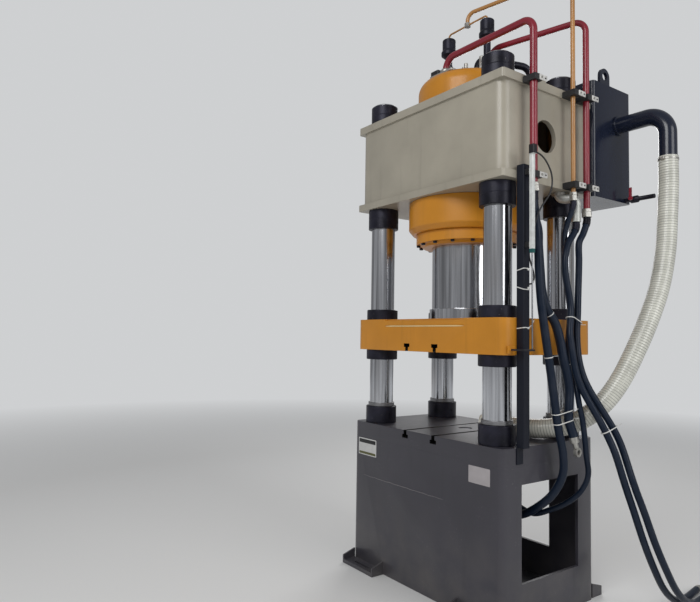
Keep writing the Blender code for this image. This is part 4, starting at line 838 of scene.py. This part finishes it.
class PRESS_OT_cylinder(PressPiece):
    """Main cylinder, gland, and the ram with its foot ring"""
    bl_idname = "press.cylinder"
    bl_label = "Main cylinder"

    def build(self, sizes):
        self.drum()
        self.gland()
        low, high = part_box("piston_rod")
        ring, rod, foot, piston = 0.235, 0.22, low.z + 0.068, high.z - 0.12
        outline = [(0.05, high.z), (CYLINDER_BORE - GAP, high.z), (CYLINDER_BORE - GAP, piston),
                   (rod, piston), (rod, foot), (ring, foot), (ring, low.z), (0.05, low.z)]
        lathe("ram", outline, (0, 0, 0), "hard_chrome", fine=2, ease=0.003, body="slide", node="piston_rod")

    def drum(self):
        """The barrel with its domed head, a quarter circle in section, and the drum under the crown."""
        low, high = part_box("main_cylinder")
        drum = (high.x - low.x) / 2
        crown_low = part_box("crown")[0].z - GAP
        barrel, shoulder = 0.32, 0.08
        sweep = np.linspace(0.0, math.pi / 2, 12)
        dome = np.stack([barrel - shoulder + shoulder * np.sin(sweep),
                         high.z - shoulder + shoulder * np.cos(sweep)], axis=1)
        rest = [(barrel, crown_low), (drum, crown_low), (drum, low.z + 0.032),
                (drum - 0.028, low.z), (CYLINDER_BORE, low.z)]
        body = eased(np.vstack([dome[-1:], rest]), 0.005)
        outline = np.vstack([[(0.05, high.z)], dome, body[1:]])
        settle("press_cylinder", turned(outline, (0, 0, 0), fine=2), "orange_enamel", node="main_cylinder")

    def gland(self):
        """The ring that closes the drum, with sixteen screws in its lower lip."""
        low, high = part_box("cylinder_gland")
        wide = (high.x - low.x) / 2
        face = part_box("main_cylinder")[0].z - GAP
        lip, inner, rod = low.z + 0.017, CYLINDER_BORE - 0.001, 0.2205
        outline = [(inner, high.z), (inner, face), (wide, face), (wide, lip), (0.297, lip), (0.28, low.z),
                   (rod, low.z), (rod, high.z)]
        lathe("rod_gland", outline, (0, 0, 0), "orange_enamel", fine=2, ring=True, ease=0.004,
              node="cylinder_gland")
        angles = [0.1 + 2 * math.pi * k / 16 for k in range(16)]
        settle("gland_screws", bolt_ring((0, 0, lip + 0.0002), 0.311, angles, 0.022, 0.013, down=True),
               "black_steel")


class PRESS_OT_slide(PressPiece):
    """Moving slide with the rib on its front, whose pale colour is a painted highlight, and the sensor's
    arm
    """
    bl_idname = "press.slide"
    bl_label = "Slide"

    def build(self, sizes):
        refined("slide", sizes.edge, "slide_enamel", "slide")
        refined("sensor_arm", 0.0012, "arm_enamel", "slide")
        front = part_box("slide")[0].y
        left, long, height, count = -0.34, 0.705, 1.587, 60
        along = np.linspace(0.0, 1.0, count)
        line = np.stack([left + long * along, np.full(count, front), np.full(count, height)], axis=1)
        size = 0.0042 * np.minimum(1.0, 12.0 * np.minimum(along, 1.0 - along)) ** 0.5 + 0.0002
        # The rib is a thin bead painted pale as a highlight of the ledge edge
        settle("slide_rib", swept(line, size, (0, 0, 1), 12), "rib_painted_highlight", "slide")


class PRESS_OT_ejector(PressPiece):
    """Ejector under the table"""
    bl_idname = "press.ejector"
    bl_label = "Ejector"

    def build(self, sizes):
        refined("ejector_cylinder", 0.002, "black_steel", angle=ROUND_ANGLE)
        refined("ejector_rod", 0.002, "hard_chrome", "ejector", angle=ROUND_ANGLE)


class PRESS_OT_tank(PressPiece):
    """Oil tank with its eyes, outlet, hose clip and drain"""
    bl_idname = "press.tank"
    bl_label = "Oil tank"

    def build(self, sizes):
        refined("oil_tank", sizes.edge, "tank_enamel")
        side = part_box("oil_tank")[1].x + GAP
        x, y, z, end = 0.967, 0.700, 2.891, 2.620
        piped("outlet", [(side, y, z), (x, y, z), (x, y, end)], 0.13, 0.102, (0, 1, 0), "tank_enamel",
              48, 24, "tank_outlet_pipe")
        flange = [(0.03, 0.0), (0.0625, 0.0), (0.0625, 0.015), (0.052, 0.015), (0.03, 0.015)]
        lathe("outlet_ring", flange, (side, y, z), "tank_enamel", (1, 0, 0))
        clip = [(0.055, -0.012), (0.0585, -0.012), (0.0585, 0.0), (0.055, 0.0)]
        lathe("outlet_clip", clip, (x, y, end - 0.013), "zinc", ring=True, ease=0.0008)
        screw = slab((0.955, y - 0.072, 2.594), (0.979, y - 0.057, 2.608), 0.003, 0.001)
        settle("outlet_clip_screw", screw, "zinc")
        refined("drain_valve", 0.001, "black_steel", angle=ROUND_ANGLE)
        refined("drain_lever", 0.001, "red_enamel", "drain_lever", angle=ROUND_ANGLE)


class PRESS_OT_pipes(PressPiece):
    """Red and ochre pipes with their union nuts, clamps and foot block"""
    bl_idname = "press.pipes"
    bl_label = "Pipes and clamps"

    # Union nuts: name, the port they sit on, width across the flats
    unions = (("front", FRONT_PORT, 0.060), ("rear", REAR_PORT, 0.054), ("pilot", PILOT_PORT, 0.042))
    clamps = (("upper_front_clamp", [FRONT_PORT[1]]), ("lower_front_clamp", [FRONT_PORT[1]]),
              ("upper_rear_clamp", [PILOT_PORT[1], REAR_PORT[1]]),
              ("lower_rear_clamp", [PILOT_PORT[1], REAR_PORT[1]]))

    def build(self, sizes):
        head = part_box("main_cylinder")[1].z
        front_foot, rear_foot, tee, step = (0.003, -0.200), (0.090, 0.120), 3.601, 0.0156
        x, y = FRONT_PORT[:2]
        self.pipe("front_red_pipe", [FRONT_PORT, (x, y, 3.298), (*front_foot, 3.315),
                                     (*front_foot, head + step)], 0.075, 0.042, (0, 1, 0), "red")
        x, y = REAR_PORT[:2]
        self.pipe("rear_red_pipe", [REAR_PORT, (x, y, 3.437), (*rear_foot, 3.437),
                                    (*rear_foot, head + GAP)], 0.075, 0.037, (-0.25, 1, 0), "red")
        x, y = PILOT_PORT[:2]
        self.pipe("pilot_pipe", [PILOT_PORT, (x, y, 3.680), (0, 0, 3.680), (0, 0, tee)],
                  0.05, 0.026, (-0.2, 1, 0), "ochre")
        piped("crossover_line", [(-VALVE_X, 0, 3.5663), (-VALVE_X, 0, tee), (VALVE_X, 0, tee),
                                 (VALVE_X, 0, 3.5663)], 0.0245, 0.012, (0, 1, 0), "ochre_enamel")
        for name, (x, y, z), across in self.unions:
            nuts = [hexagon((x, y, z - 0.010), across, 0.030),
                    hexagon((x, y, z + 0.022), across * 0.92, 0.016)]
            settle(name + "_union", joined(nuts), "zinc")
        nuts = [hexagon((x, 0, 3.566), 0.026, 0.014) for x in (-VALVE_X, VALVE_X)]
        nuts.append(hexagon((0, 0, 3.590), 0.036, 0.026))
        settle("crossover_nuts", joined(nuts), "zinc")
        refined("pipe_foot_block", 0.003, "zinc")
        low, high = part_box("pipe_foot_block")
        bolts = [hexagon((x, y, high.z), 0.020, 0.012)
                 for x in (low.x + 0.022, high.x - 0.022) for y in (low.y + 0.02, high.y - 0.02)]
        settle("foot_block_bolts", joined(bolts), "black_steel")
        lathe("foot_collar", [(0.02, 0.0), (0.036, 0.0), (0.036, 0.020), (0.028, 0.030), (0.02, 0.030)],
              (*front_foot, high.z), "zinc")
        collar = [(0.01, 0.0), (0.037, 0.0), (0.037, 0.014), (0.0255, 0.022), (0.01, 0.022)]
        lathe("rear_pipe_collar", collar, (*rear_foot, head), "black_steel")
        for node, ends in self.clamps:
            refined(node, 0.0015, "black_polymer", angle=ROUND_ANGLE)
            self.clamp_plates(node, ends)

    def pipe(self, node, corners, bend, diameter, reference, paint):
        """A painted pipe that stands for a node."""
        piped(node + "_line", corners, bend, diameter, reference, paint + "_enamel", node=node)

    def clamp_plates(self, node, ends):
        """Zinc plates on a clamp's outer face, each with a bolt and a slotted hole beyond it, drawn as a
        sheet of painted shade.
        """
        low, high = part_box(node)
        middle = (low.z + high.z) / 2
        for k, y in enumerate(ends):
            first, last = y + 0.004, y + 0.068
            plate = slab((high.x, first, low.z + 0.002), (high.x + 0.004, last, high.z - 0.002),
                         0.004, 0.001, direction="X")
            settle(f"{node}_plate_{k}", plate, "bright_zinc")
            bolt = hexagon((high.x + 0.004, y + 0.019, middle), 0.012, 0.005, (1, 0, 0))
            settle(f"{node}_bolt_{k}", bolt, "zinc")
            # Painted shade: the slotted hole is a thin near-black sheet on the plate
            hole = slab((high.x + 0.0035, last - 0.021, middle - 0.0045),
                        (high.x + 0.0043, last - 0.008, middle + 0.0045), 0.0044, 0.0002, direction="X")
            settle(f"{node}_hole_{k}", hole, "hole_painted_shade")


class PRESS_OT_head(PressPiece):
    """Filling valves, filling pipe, vent, switch and plugs on the cylinder's head"""
    bl_idname = "press.head"
    bl_label = "Head fittings"

    def build(self, sizes):
        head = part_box("main_cylinder")[1].z + GAP
        for x, node in ((-VALVE_X, "left_filling_valve"), (VALVE_X, "right_filling_valve")):
            self.valve(x, node, head)
        self.fill_line(head)
        x, y, low, top, radius = spot("vent_tube")
        outline = [(0.006, top), (radius - 0.004, top), (radius, top - 0.004), (radius, low), (0.006, low)]
        lathe("vent", outline, (x, y, 0), "pale_alloy", ease=0.0015, node="vent_tube")
        settle("vent_nut", hexagon((x, y, low), 0.046, 0.018), "zinc")
        self.switch(head)

    def valve(self, x, node, head):
        """A black valve: cap, cup, neck and a bolted foot."""
        top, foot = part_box(node)[1].z, head + 0.03
        cup = top - 0.075
        outline = [(0.008, top), (0.039, top), (0.045, top - 0.006), (0.045, cup), (0.0525, cup - 0.012),
                   (0.0525, cup - 0.035), (0.0225, cup - 0.06), (0.0225, foot), (0.06, foot), (0.06, head),
                   (0.008, head)]
        lathe(node + "_body", outline, (x, 0, 0), "black_steel", ease=0.003, node=node)
        angles = [math.pi * k / 3 + 0.3 for k in range(6)]
        settle(node + "_bolts", bolt_ring((x, 0, foot), 0.047, angles, 0.013, 0.009), "zinc")

    def fill_line(self, head):
        """The black pipe from the head to the tank, with a bolted flange at each end."""
        first, last, height = (-0.020, 0.120), (0.100, 0.530), 3.420
        corners = [(*first, head), (*first, height), (*last, height), (*last, 3.1303)]
        piped("fill_line", corners, 0.075, 0.05, (1, -0.29, 0), "black_steel", 36, node="filling_pipe")
        thick = 0.012
        outline = [(0.02, 0.0), (0.046, 0.0), (0.046, thick), (0.026, thick), (0.02, thick)]
        for name, at in (("fill_foot", corners[0]), ("fill_flange", corners[3])):
            lathe(name, outline, at, "black_steel")
            bolts = bolt_ring((*at[:2], at[2] + thick), 0.036, (0.4, 2.0, 3.5, 5.1), 0.011, 0.008)
            settle(name + "_bolts", bolts, "zinc")

    def switch(self, head):
        """A pressure switch on its stub and two plugs beside the front pipe's foot."""
        x, y = -0.125, -0.155
        stub = [(0.004, 0.0), (0.016, 0.0), (0.016, 0.018), (0.010, 0.022), (0.010, 0.040), (0.004, 0.040)]
        lathe("switch_stub", stub, (x, y, head), "zinc", ease=0.001)
        box = slab((x - 0.042, y - 0.022, head + 0.038), (x + 0.030, y + 0.022, head + 0.088), 0.008, 0.003)
        settle("switch_box", box, "black_polymer")
        cap = [(0.003, 0.0), (0.013, 0.0), (0.013, 0.020), (0.003, 0.020)]
        lathe("switch_cap", cap, (x + 0.030, y, head + 0.062), "black_polymer", (1, 0, 0))
        pin = eased([(0.003, 0.0), (0.012, 0.0), (0.012, 0.034), (0.003, 0.034)], 0.002)
        plugs = []
        for px, py in ((0.132, -0.150), (0.085, -0.120)):
            plugs.append(hexagon((px, py, head), 0.034, 0.020))
            plugs.append(turned(pin, (px, py, head + 0.019)))
        settle("head_plugs", joined(plugs), "zinc")


class PRESS_OT_sensor(PressPiece):
    """Sensor post with its ties, and the transducer"""
    bl_idname = "press.sensor"
    bl_label = "Sensor"

    # Ties round the post: height, and lean in radians
    ties = ((1.890, 0.22), (1.790, -0.30), (1.576, 0.12))

    def build(self, sizes):
        refined("sensor_post", 0.0015, "post_enamel")
        refined("transducer", 0.0015, "transducer_alloy")
        refined("transducer_rod", 0.0005, "hard_chrome", "slide", angle=ROUND_ANGLE)
        low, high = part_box("sensor_post")
        middle = ((low.x + high.x) / 2 + 0.0013, (low.y + high.y) / 2)
        half = (high.x - low.x) / 2 - 0.0009
        x, y = high.x, middle[1]
        for k, (z, lean) in enumerate(self.ties):
            side = (math.cos(lean), 0.0, math.sin(lean))
            strap = band((*middle, z), side, (0, 1, 0), (half / math.cos(lean), half + 0.0012), 0.004,
                         sizes.tie, 0.0013)
            lock = slab((x, y + 0.004, z - 0.005), (x + 0.006, y + 0.013, z + 0.005), 0.001, 0.0005)
            tail = swept([(x + 0.003, y + 0.006, z), (x + 0.014, y + 0.022, z + 0.016),
                          (x + 0.020, y + 0.034, z + 0.042)], 0.0017, (0, 0, 1), 8)
            settle(f"post_tie_{k}", joined([strap, lock, tail]), "tie_white")


class PRESS_OT_hoses(PressPiece):
    """Loose hoses, their ferrules, ties and fittings, and the sensor's cable"""
    bl_idname = "press.hoses"
    bl_label = "Hoses"

    # How far the suction hose's wire stands out to each side of its skin's middle
    wire = 0.0004

    # Routes: points that each hose's curve goes through, from its port to its end
    suction = [
        (0.967, 0.700, 2.6197), (0.967, 0.700, 2.450), (0.966, 0.685, 2.250), (0.965, 0.660, 2.050),
        (0.955, 0.607, 1.840), (0.935, 0.525, 1.650), (0.905, 0.435, 1.470), (0.865, 0.345, 1.300),
        (0.815, 0.265, 1.175), (0.745, 0.190, 1.085), (0.650, 0.120, 1.027), (0.540, 0.065, 1.002),
        (0.430, 0.030, 0.997), (0.310, -0.010, 0.997), (0.190, -0.060, 0.997),
    ]
    front = [
        (0.700, -0.214, 2.3297), (0.700, -0.214, 2.280), (0.705, -0.185, 2.057),
        (0.710, -0.183, 1.893), (0.715, -0.173, 1.730), (0.720, -0.154, 1.595),
        (0.725, -0.131, 1.461), (0.730, -0.104, 1.310), (0.735, -0.080, 1.164),
        (0.735, -0.050, 1.028), (0.730, -0.004, 0.904), (0.722, 0.012, 0.800),
        (0.695, 0.008, 0.720), (0.650, -0.008, 0.645), (0.585, -0.030, 0.580),
        (0.505, -0.043, 0.525), (0.400, -0.050, 0.488), (0.280, -0.050, 0.472),
        (0.200, -0.050, 0.470), (0.1303, -0.050, 0.470),
    ]
    loose = [
        (0.600, -0.165, 2.3897), (0.600, -0.165, 2.330), (0.645, -0.115, 2.156),
        (0.668, -0.132, 2.028), (0.682, -0.137, 1.898), (0.684, -0.123, 1.778),
        (0.690, -0.087, 1.680), (0.705, -0.037, 1.609), (0.720, -0.014, 1.516),
        (0.733, -0.005, 1.417), (0.740, 0.020, 1.329), (0.745, 0.034, 1.241), (0.749, 0.025, 1.165),
        (0.752, 0.016, 1.084), (0.762, 0.023, 1.036),
    ]
    elbow = [
        (0.679, 0.200, 2.2047), (0.679, 0.200, 2.172), (0.683, 0.162, 2.122), (0.687, 0.118, 2.080),
        (0.692, 0.085, 2.020), (0.695, 0.070, 1.970), (0.700, 0.068, 1.885), (0.710, 0.078, 1.794),
        (0.720, 0.085, 1.707), (0.730, 0.069, 1.631), (0.742, 0.045, 1.555), (0.755, 0.043, 1.469),
        (0.765, 0.049, 1.387), (0.780, 0.058, 1.312), (0.800, 0.080, 1.237), (0.830, 0.104, 1.164),
        (0.865, 0.135, 1.079), (0.900, 0.165, 0.983), (0.935, 0.172, 0.900), (0.965, 0.205, 0.750),
        (0.985, 0.258, 0.600), (1.000, 0.322, 0.440), (1.010, 0.402, 0.290), (1.010, 0.500, 0.160),
        (1.000, 0.615, 0.075), (0.985, 0.735, 0.031), (0.970, 0.850, 0.0197),
        (0.955, 0.960, 0.0195),
    ]
    rear = [
        (0.700, 0.275, 2.2497), (0.700, 0.275, 2.210), (0.700, 0.240, 2.140), (0.700, 0.197, 2.076),
        (0.700, 0.196, 1.972), (0.700, 0.191, 1.868), (0.705, 0.178, 1.764), (0.712, 0.163, 1.660),
        (0.720, 0.144, 1.574), (0.732, 0.129, 1.489), (0.750, 0.117, 1.405), (0.770, 0.120, 1.328),
        (0.800, 0.125, 1.259), (0.833, 0.145, 1.189), (0.868, 0.179, 1.109), (0.905, 0.214, 1.019),
        (0.935, 0.235, 0.930), (1.000, 0.234, 0.750), (1.026, 0.288, 0.600), (1.046, 0.352, 0.440),
        (1.062, 0.432, 0.290), (1.066, 0.530, 0.160), (1.060, 0.645, 0.075), (1.048, 0.765, 0.031),
        (1.034, 0.878, 0.0197), (1.020, 0.988, 0.0195),
    ]
    pilot = [
        (0.700, 0.145, 2.3297), (0.700, 0.145, 2.300), (0.682, 0.147, 2.250), (0.661, 0.141, 2.190),
        (0.649, 0.134, 2.130), (0.650, 0.131, 2.080), (0.662, 0.117, 2.006), (0.670, 0.108, 1.889),
        (0.679, 0.115, 1.797), (0.685, 0.125, 1.711), (0.690, 0.117, 1.619), (0.695, 0.097, 1.516),
        (0.700, 0.100, 1.415), (0.718, 0.107, 1.320), (0.755, 0.085, 1.251), (0.775, 0.083, 1.154),
        (0.787, 0.092, 1.078), (0.792, 0.107, 0.969), (0.787, 0.126, 0.885), (0.772, 0.165, 0.765),
        (0.728, 0.155, 0.665), (0.655, 0.122, 0.592), (0.580, 0.085, 0.545), (0.490, 0.052, 0.508),
        (0.380, 0.050, 0.530), (0.290, 0.050, 0.575), (0.200, 0.050, 0.600), (0.1303, 0.050, 0.600),
    ]
    cable = [
        (0.742, -0.2635, 2.521), (0.743, -0.246, 2.521), (0.748, -0.205, 2.508),
        (0.753, -0.165, 2.472), (0.757, -0.136, 2.420), (0.757, -0.130, 2.365),
        (0.755, -0.146, 2.312), (0.750, -0.174, 2.272), (0.742, -0.200, 2.235),
        (0.731, -0.219, 2.190), (0.715, -0.2265, 2.130), (0.698, -0.2275, 2.070),
        (0.684, -0.2275, 2.010), (0.678, -0.224, 1.968), (0.676, -0.2055, 1.926),
        (0.676, -0.1885, 1.890), (0.676, -0.181, 1.856), (0.676, -0.1861, 1.835),
        (0.676, -0.2007, 1.820), (0.676, -0.229, 1.815), (0.676, -0.2472, 1.815),
    ]

    def build(self, sizes):
        self.hose("suction_hose", self.suction, 0.112, (0, 1, 0), "bare", sizes, finish="milky_hose")
        self.hose("front_hose", self.front, 0.045, (0, 1, 0), "object", sizes,
                  ties=((1.420, None), (1.110, self.loose), (1.062, self.loose)))
        self.hose("loose_hose", self.loose, 0.050, (0, 1, 0), "fitting", sizes, ties=((1.655, None),))
        self.hose("elbow_hose", self.elbow, 0.038, (1, 0, 0), "fitting", sizes,
                  ties=((1.640, self.rear), (1.020, self.rear)))
        self.hose("rear_hose", self.rear, 0.038, (1, 0, 0), "fitting", sizes)
        self.hose("pilot_hose", self.pilot, 0.031, (0, 1, 0), "object", sizes, ties=((1.380, None),))
        self.hose("sensor_cable", self.cable, 0.009, (1, 0, 0), "object", sizes, finish="cable")

    def hose(self, node, route, diameter, reference, far_end, sizes, ties=(), finish="rubber"):
        """One cord along its route, with what is fixed to it."""
        path = flowing(route, max(0.006, diameter * 0.3))
        if far_end == "fitting":
            ahead = (path[-1] - path[-2]) / np.linalg.norm(path[-1] - path[-2])
            path = np.vstack([path, path[-1] + np.linspace(0.01, 0.05, 5)[:, None] * ahead])
        if finish == "milky_hose":
            close = flowing(route, sizes.wire_pitch / 6)
            mesh = self.ribbed(close, diameter / 2, reference, sizes.wire_pitch)
        else:
            mesh = swept(path, diameter / 2, reference, 28 if finish == "rubber" else 12)
        piece = settle(node + "_line", mesh, finish, node=node)
        if finish == "rubber":
            self.ferrule(node, path, diameter, reference, sizes)
        if far_end == "fitting":
            refined(node + "_fitting", 0.0008, "zinc", angle=ROUND_ANGLE)
        for height, beside in ties:
            self.tie(node, path, diameter, height, beside, sizes)
        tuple(route[0])
        float(lengths_of(path)[-1])

    def ribbed(self, path, radius, reference, pitch):
        """A tube whose skin rises over a wire wound in it: the radius at angle a and length s is
        radius - wire + wire · cos(a + 2 pi s / pitch), so each turn is one raised line."""
        facets = 40
        a = np.linspace(0.0, 2 * math.pi, facets, endpoint=False)
        turn = a[None] + 2 * math.pi * lengths_of(path)[:, None] / pitch
        return swept(path, radius - self.wire + self.wire * np.cos(turn), reference, facets)

    def ferrule(self, node, path, diameter, reference, sizes):
        """A crimped sleeve on a hose's first stretch, with eight pressed rings."""
        count = 60
        along = np.linspace(0.0, 1.0, count)
        size = diameter / 2 * (1.13 + 0.03 * np.cos(along * 16 * math.pi))
        size[0] = size[-1] = diameter / 2 * 1.02
        part = stretch(path, sizes.ferrule, count)
        return settle(node + "_ferrule", swept(part, size, reference, 32), "black_steel")

    def tie(self, node, path, diameter, height, beside, sizes):
        """A white strap round a hose at a height, or round it and the hose beside it."""
        place = int(np.argmin(np.abs(path[:, 2] - height)))
        here = path[place]
        forward = path[min(place + 1, len(path) - 1)] - path[max(place - 1, 0)]
        side, up, forward = axes_of(forward)
        radius = diameter / 2 + 0.0002
        half, centre = (radius, radius), here
        if beside is not None:
            other = flowing(beside, 0.01)
            gap = other[int(np.argmin(np.linalg.norm(other - here, axis=1)))] - here
            gap = gap - forward * float(gap @ forward)
            reach = float(np.linalg.norm(gap))
            side, centre = gap / reach, here + gap / 2
            up = np.cross(forward, side)
            half = (reach / 2 + 0.025, 0.025)
        strap = band(centre, side, up, half, min(half) * 0.999, sizes.tie, 0.0013)
        start = centre + side * (half[0] + 0.001)
        knob = hexagon(tuple(start - side * 0.001), 0.008, 0.005, tuple(side))
        end = np.stack([start, start + side * 0.014 + up * 0.010, start + side * 0.020 + up * 0.030])
        tail = swept(end, 0.0016, tuple(forward), 8)
        return settle(f"{node}_tie_{round(height * 1000)}", joined([strap, knob, tail]), "tie_white")


class PRESS_OT_elbow(PressPiece):
    """Pale bent tube under the crown"""
    bl_idname = "press.elbow"
    bl_label = "Elbow"

    def build(self, sizes):
        top, last, height = (0.585, 0.165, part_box("crown_elbow")[1].z), (0.679, 0.200), 2.348
        piped("elbow_tube", [top, (*top[:2], height), (*last, height), (*last, 2.205)], 0.04, 0.056,
              (-0.35, 0.94, 0), "pale_alloy", 40, node="crown_elbow")
        lathe("elbow_nut", [(0.02, -0.020), (0.037, -0.020), (0.037, 0.0), (0.02, 0.0)], top, "zinc")


class PRESS_OT_stage(bpy.types.Operator):
    """Floor, lamps, world and camera"""
    bl_idname = "press.stage"
    bl_label = "Stage"

    # Lamps: name, place, target, width and height
    lamps = (("key", (2.2, -5.2, 5.2), (0, 0, 1.6), (3.4, 2.6)),
             ("fill", (5.6, 0.6, 3.6), (0, 0, 1.6), (2.6, 3.4)),
             ("back", (-3.2, 4.2, 4.6), (0, 0, 1.8), (2.6, 2.6)))

    def execute(self, context):
        view = context.scene.press_view
        self.floor(view)
        self.world(context.scene, view)
        self.camera(context.scene, view)
        for lamp, share in zip(self.lamps, (1.0, view.fill, view.fill)):
            self.lamp(*lamp, view.key * share)
        context.scene.view_settings.view_transform = "Standard"
        return {"FINISHED"}

    def floor(self, view):
        """A pale floor that keeps the shadow and turns into the backdrop's colour far away."""
        half, level, fade_start, fade_end = 16.0, -0.0004, 4.5, 11.0
        mesh = bpy.data.meshes.new("floor")
        mesh.from_pydata([(-half, -half, level), (half, -half, level), (half, half, level),
                          (-half, half, level)], [], [(0, 1, 2, 3)])
        floor = bpy.data.objects.new("floor", mesh)
        bpy.context.scene.collection.objects.link(floor)
        finish = Finish("studio_floor", (0.84, 0.84, 0.83), 0.6)
        x, y = finish.axis("X"), finish.axis("Y")
        far = ((x * x + y * y) ** 0.5).between(fade_start, fade_end)
        glow = finish.tree.nodes.new("ShaderNodeEmission")
        glow.inputs["Color"].default_value = (*view.backdrop, 1.0)
        mixed(finish.tree, far.socket, finish.shader, glow, "Material Output")
        mesh.materials.append(finish.material)

    def world(self, scene, view):
        """Even light on the surfaces, and a pale backdrop where the camera looks past them."""
        world = bpy.data.worlds.new("studio")
        world.use_nodes = True
        tree = world.node_tree
        light = tree.nodes["Background"]
        light.inputs["Color"].default_value = (0.97, 0.98, 1.0, 1.0)
        light.inputs["Strength"].default_value = view.world
        backdrop = tree.nodes.new("ShaderNodeBackground")
        backdrop.inputs["Color"].default_value = (*view.backdrop, 1.0)
        path = tree.nodes.new("ShaderNodeLightPath")
        mixed(tree, path.outputs["Is Camera Ray"], light, backdrop, "World Output")
        scene.world = world

    def camera(self, scene, view):
        """The photograph's camera: turned, raised, then rolled about its own axis."""
        camera = bpy.data.cameras.new("camera")
        camera.sensor_width = 36.0
        camera.sensor_fit = "HORIZONTAL"
        camera.lens = view.focal
        turn, rise, roll = (math.radians(v) for v in (view.turn, view.rise, view.roll))
        ahead = Vector((-math.sin(turn) * math.cos(rise), math.cos(turn) * math.cos(rise), math.sin(rise)))
        right = Vector((math.cos(turn), math.sin(turn), 0.0))
        up = right.cross(ahead)
        tilted = right * math.cos(roll) + up * math.sin(roll)
        upright = up * math.cos(roll) - right * math.sin(roll)
        matrix = Matrix((tilted, upright, -ahead)).transposed().to_4x4()
        matrix.translation = Vector(view.eye)
        obj = bpy.data.objects.new("camera", camera)
        scene.collection.objects.link(obj)
        obj.matrix_world = matrix
        scene.camera = obj

    def lamp(self, name, place, target, size, power):
        """A soft rectangular lamp that looks at a target."""
        lamp = bpy.data.lights.new(name, "AREA")
        lamp.shape = "RECTANGLE"
        lamp.size, lamp.size_y = size
        lamp.energy = power
        obj = bpy.data.objects.new(name, lamp)
        obj.location = place
        obj.rotation_euler = (Vector(target) - Vector(place)).to_track_quat("-Z", "Y").to_euler()
        bpy.context.scene.collection.objects.link(obj)


class PRESS_PT_panel(bpy.types.Panel):
    """Lists the pieces of the press."""
    bl_label = "Press"
    bl_space_type = "VIEW_3D"
    bl_region_type = "UI"
    bl_category = "Press"

    def draw(self, context):
        for operator in OPERATORS:
            self.layout.operator(operator.bl_idname)
        for group in (context.scene.press_paints, context.scene.press_sizes, context.scene.press_view):
            box = self.layout.box()
            for name in group.__annotations__:
                box.prop(group, name)


OPERATORS = (PRESS_OT_bed, PRESS_OT_columns, PRESS_OT_crown, PRESS_OT_cylinder, PRESS_OT_slide,
             PRESS_OT_ejector, PRESS_OT_tank, PRESS_OT_pipes, PRESS_OT_head, PRESS_OT_sensor,
             PRESS_OT_elbow, PRESS_OT_hoses, PRESS_OT_stage)
GROUPS = (PressPaints, PressSizes, PressView)


def register():
    for kind in (*GROUPS, *OPERATORS, PRESS_PT_panel):
        bpy.utils.register_class(kind)
    bpy.types.Scene.press_paints = PointerProperty(type=PressPaints)
    bpy.types.Scene.press_sizes = PointerProperty(type=PressSizes)
    bpy.types.Scene.press_view = PointerProperty(type=PressView)


def unregister():
    del bpy.types.Scene.press_paints
    del bpy.types.Scene.press_sizes
    del bpy.types.Scene.press_view
    for kind in reversed((*GROUPS, *OPERATORS, PRESS_PT_panel)):
        bpy.utils.unregister_class(kind)


def main():
    register()
    scene = bpy.context.scene
    make_finishes(scene.press_paints, scene.press_sizes)
    for operator in OPERATORS:
        family, name = operator.bl_idname.split(".")
        getattr(getattr(bpy.ops, family), name)()


if __name__ == "__main__":
    main()
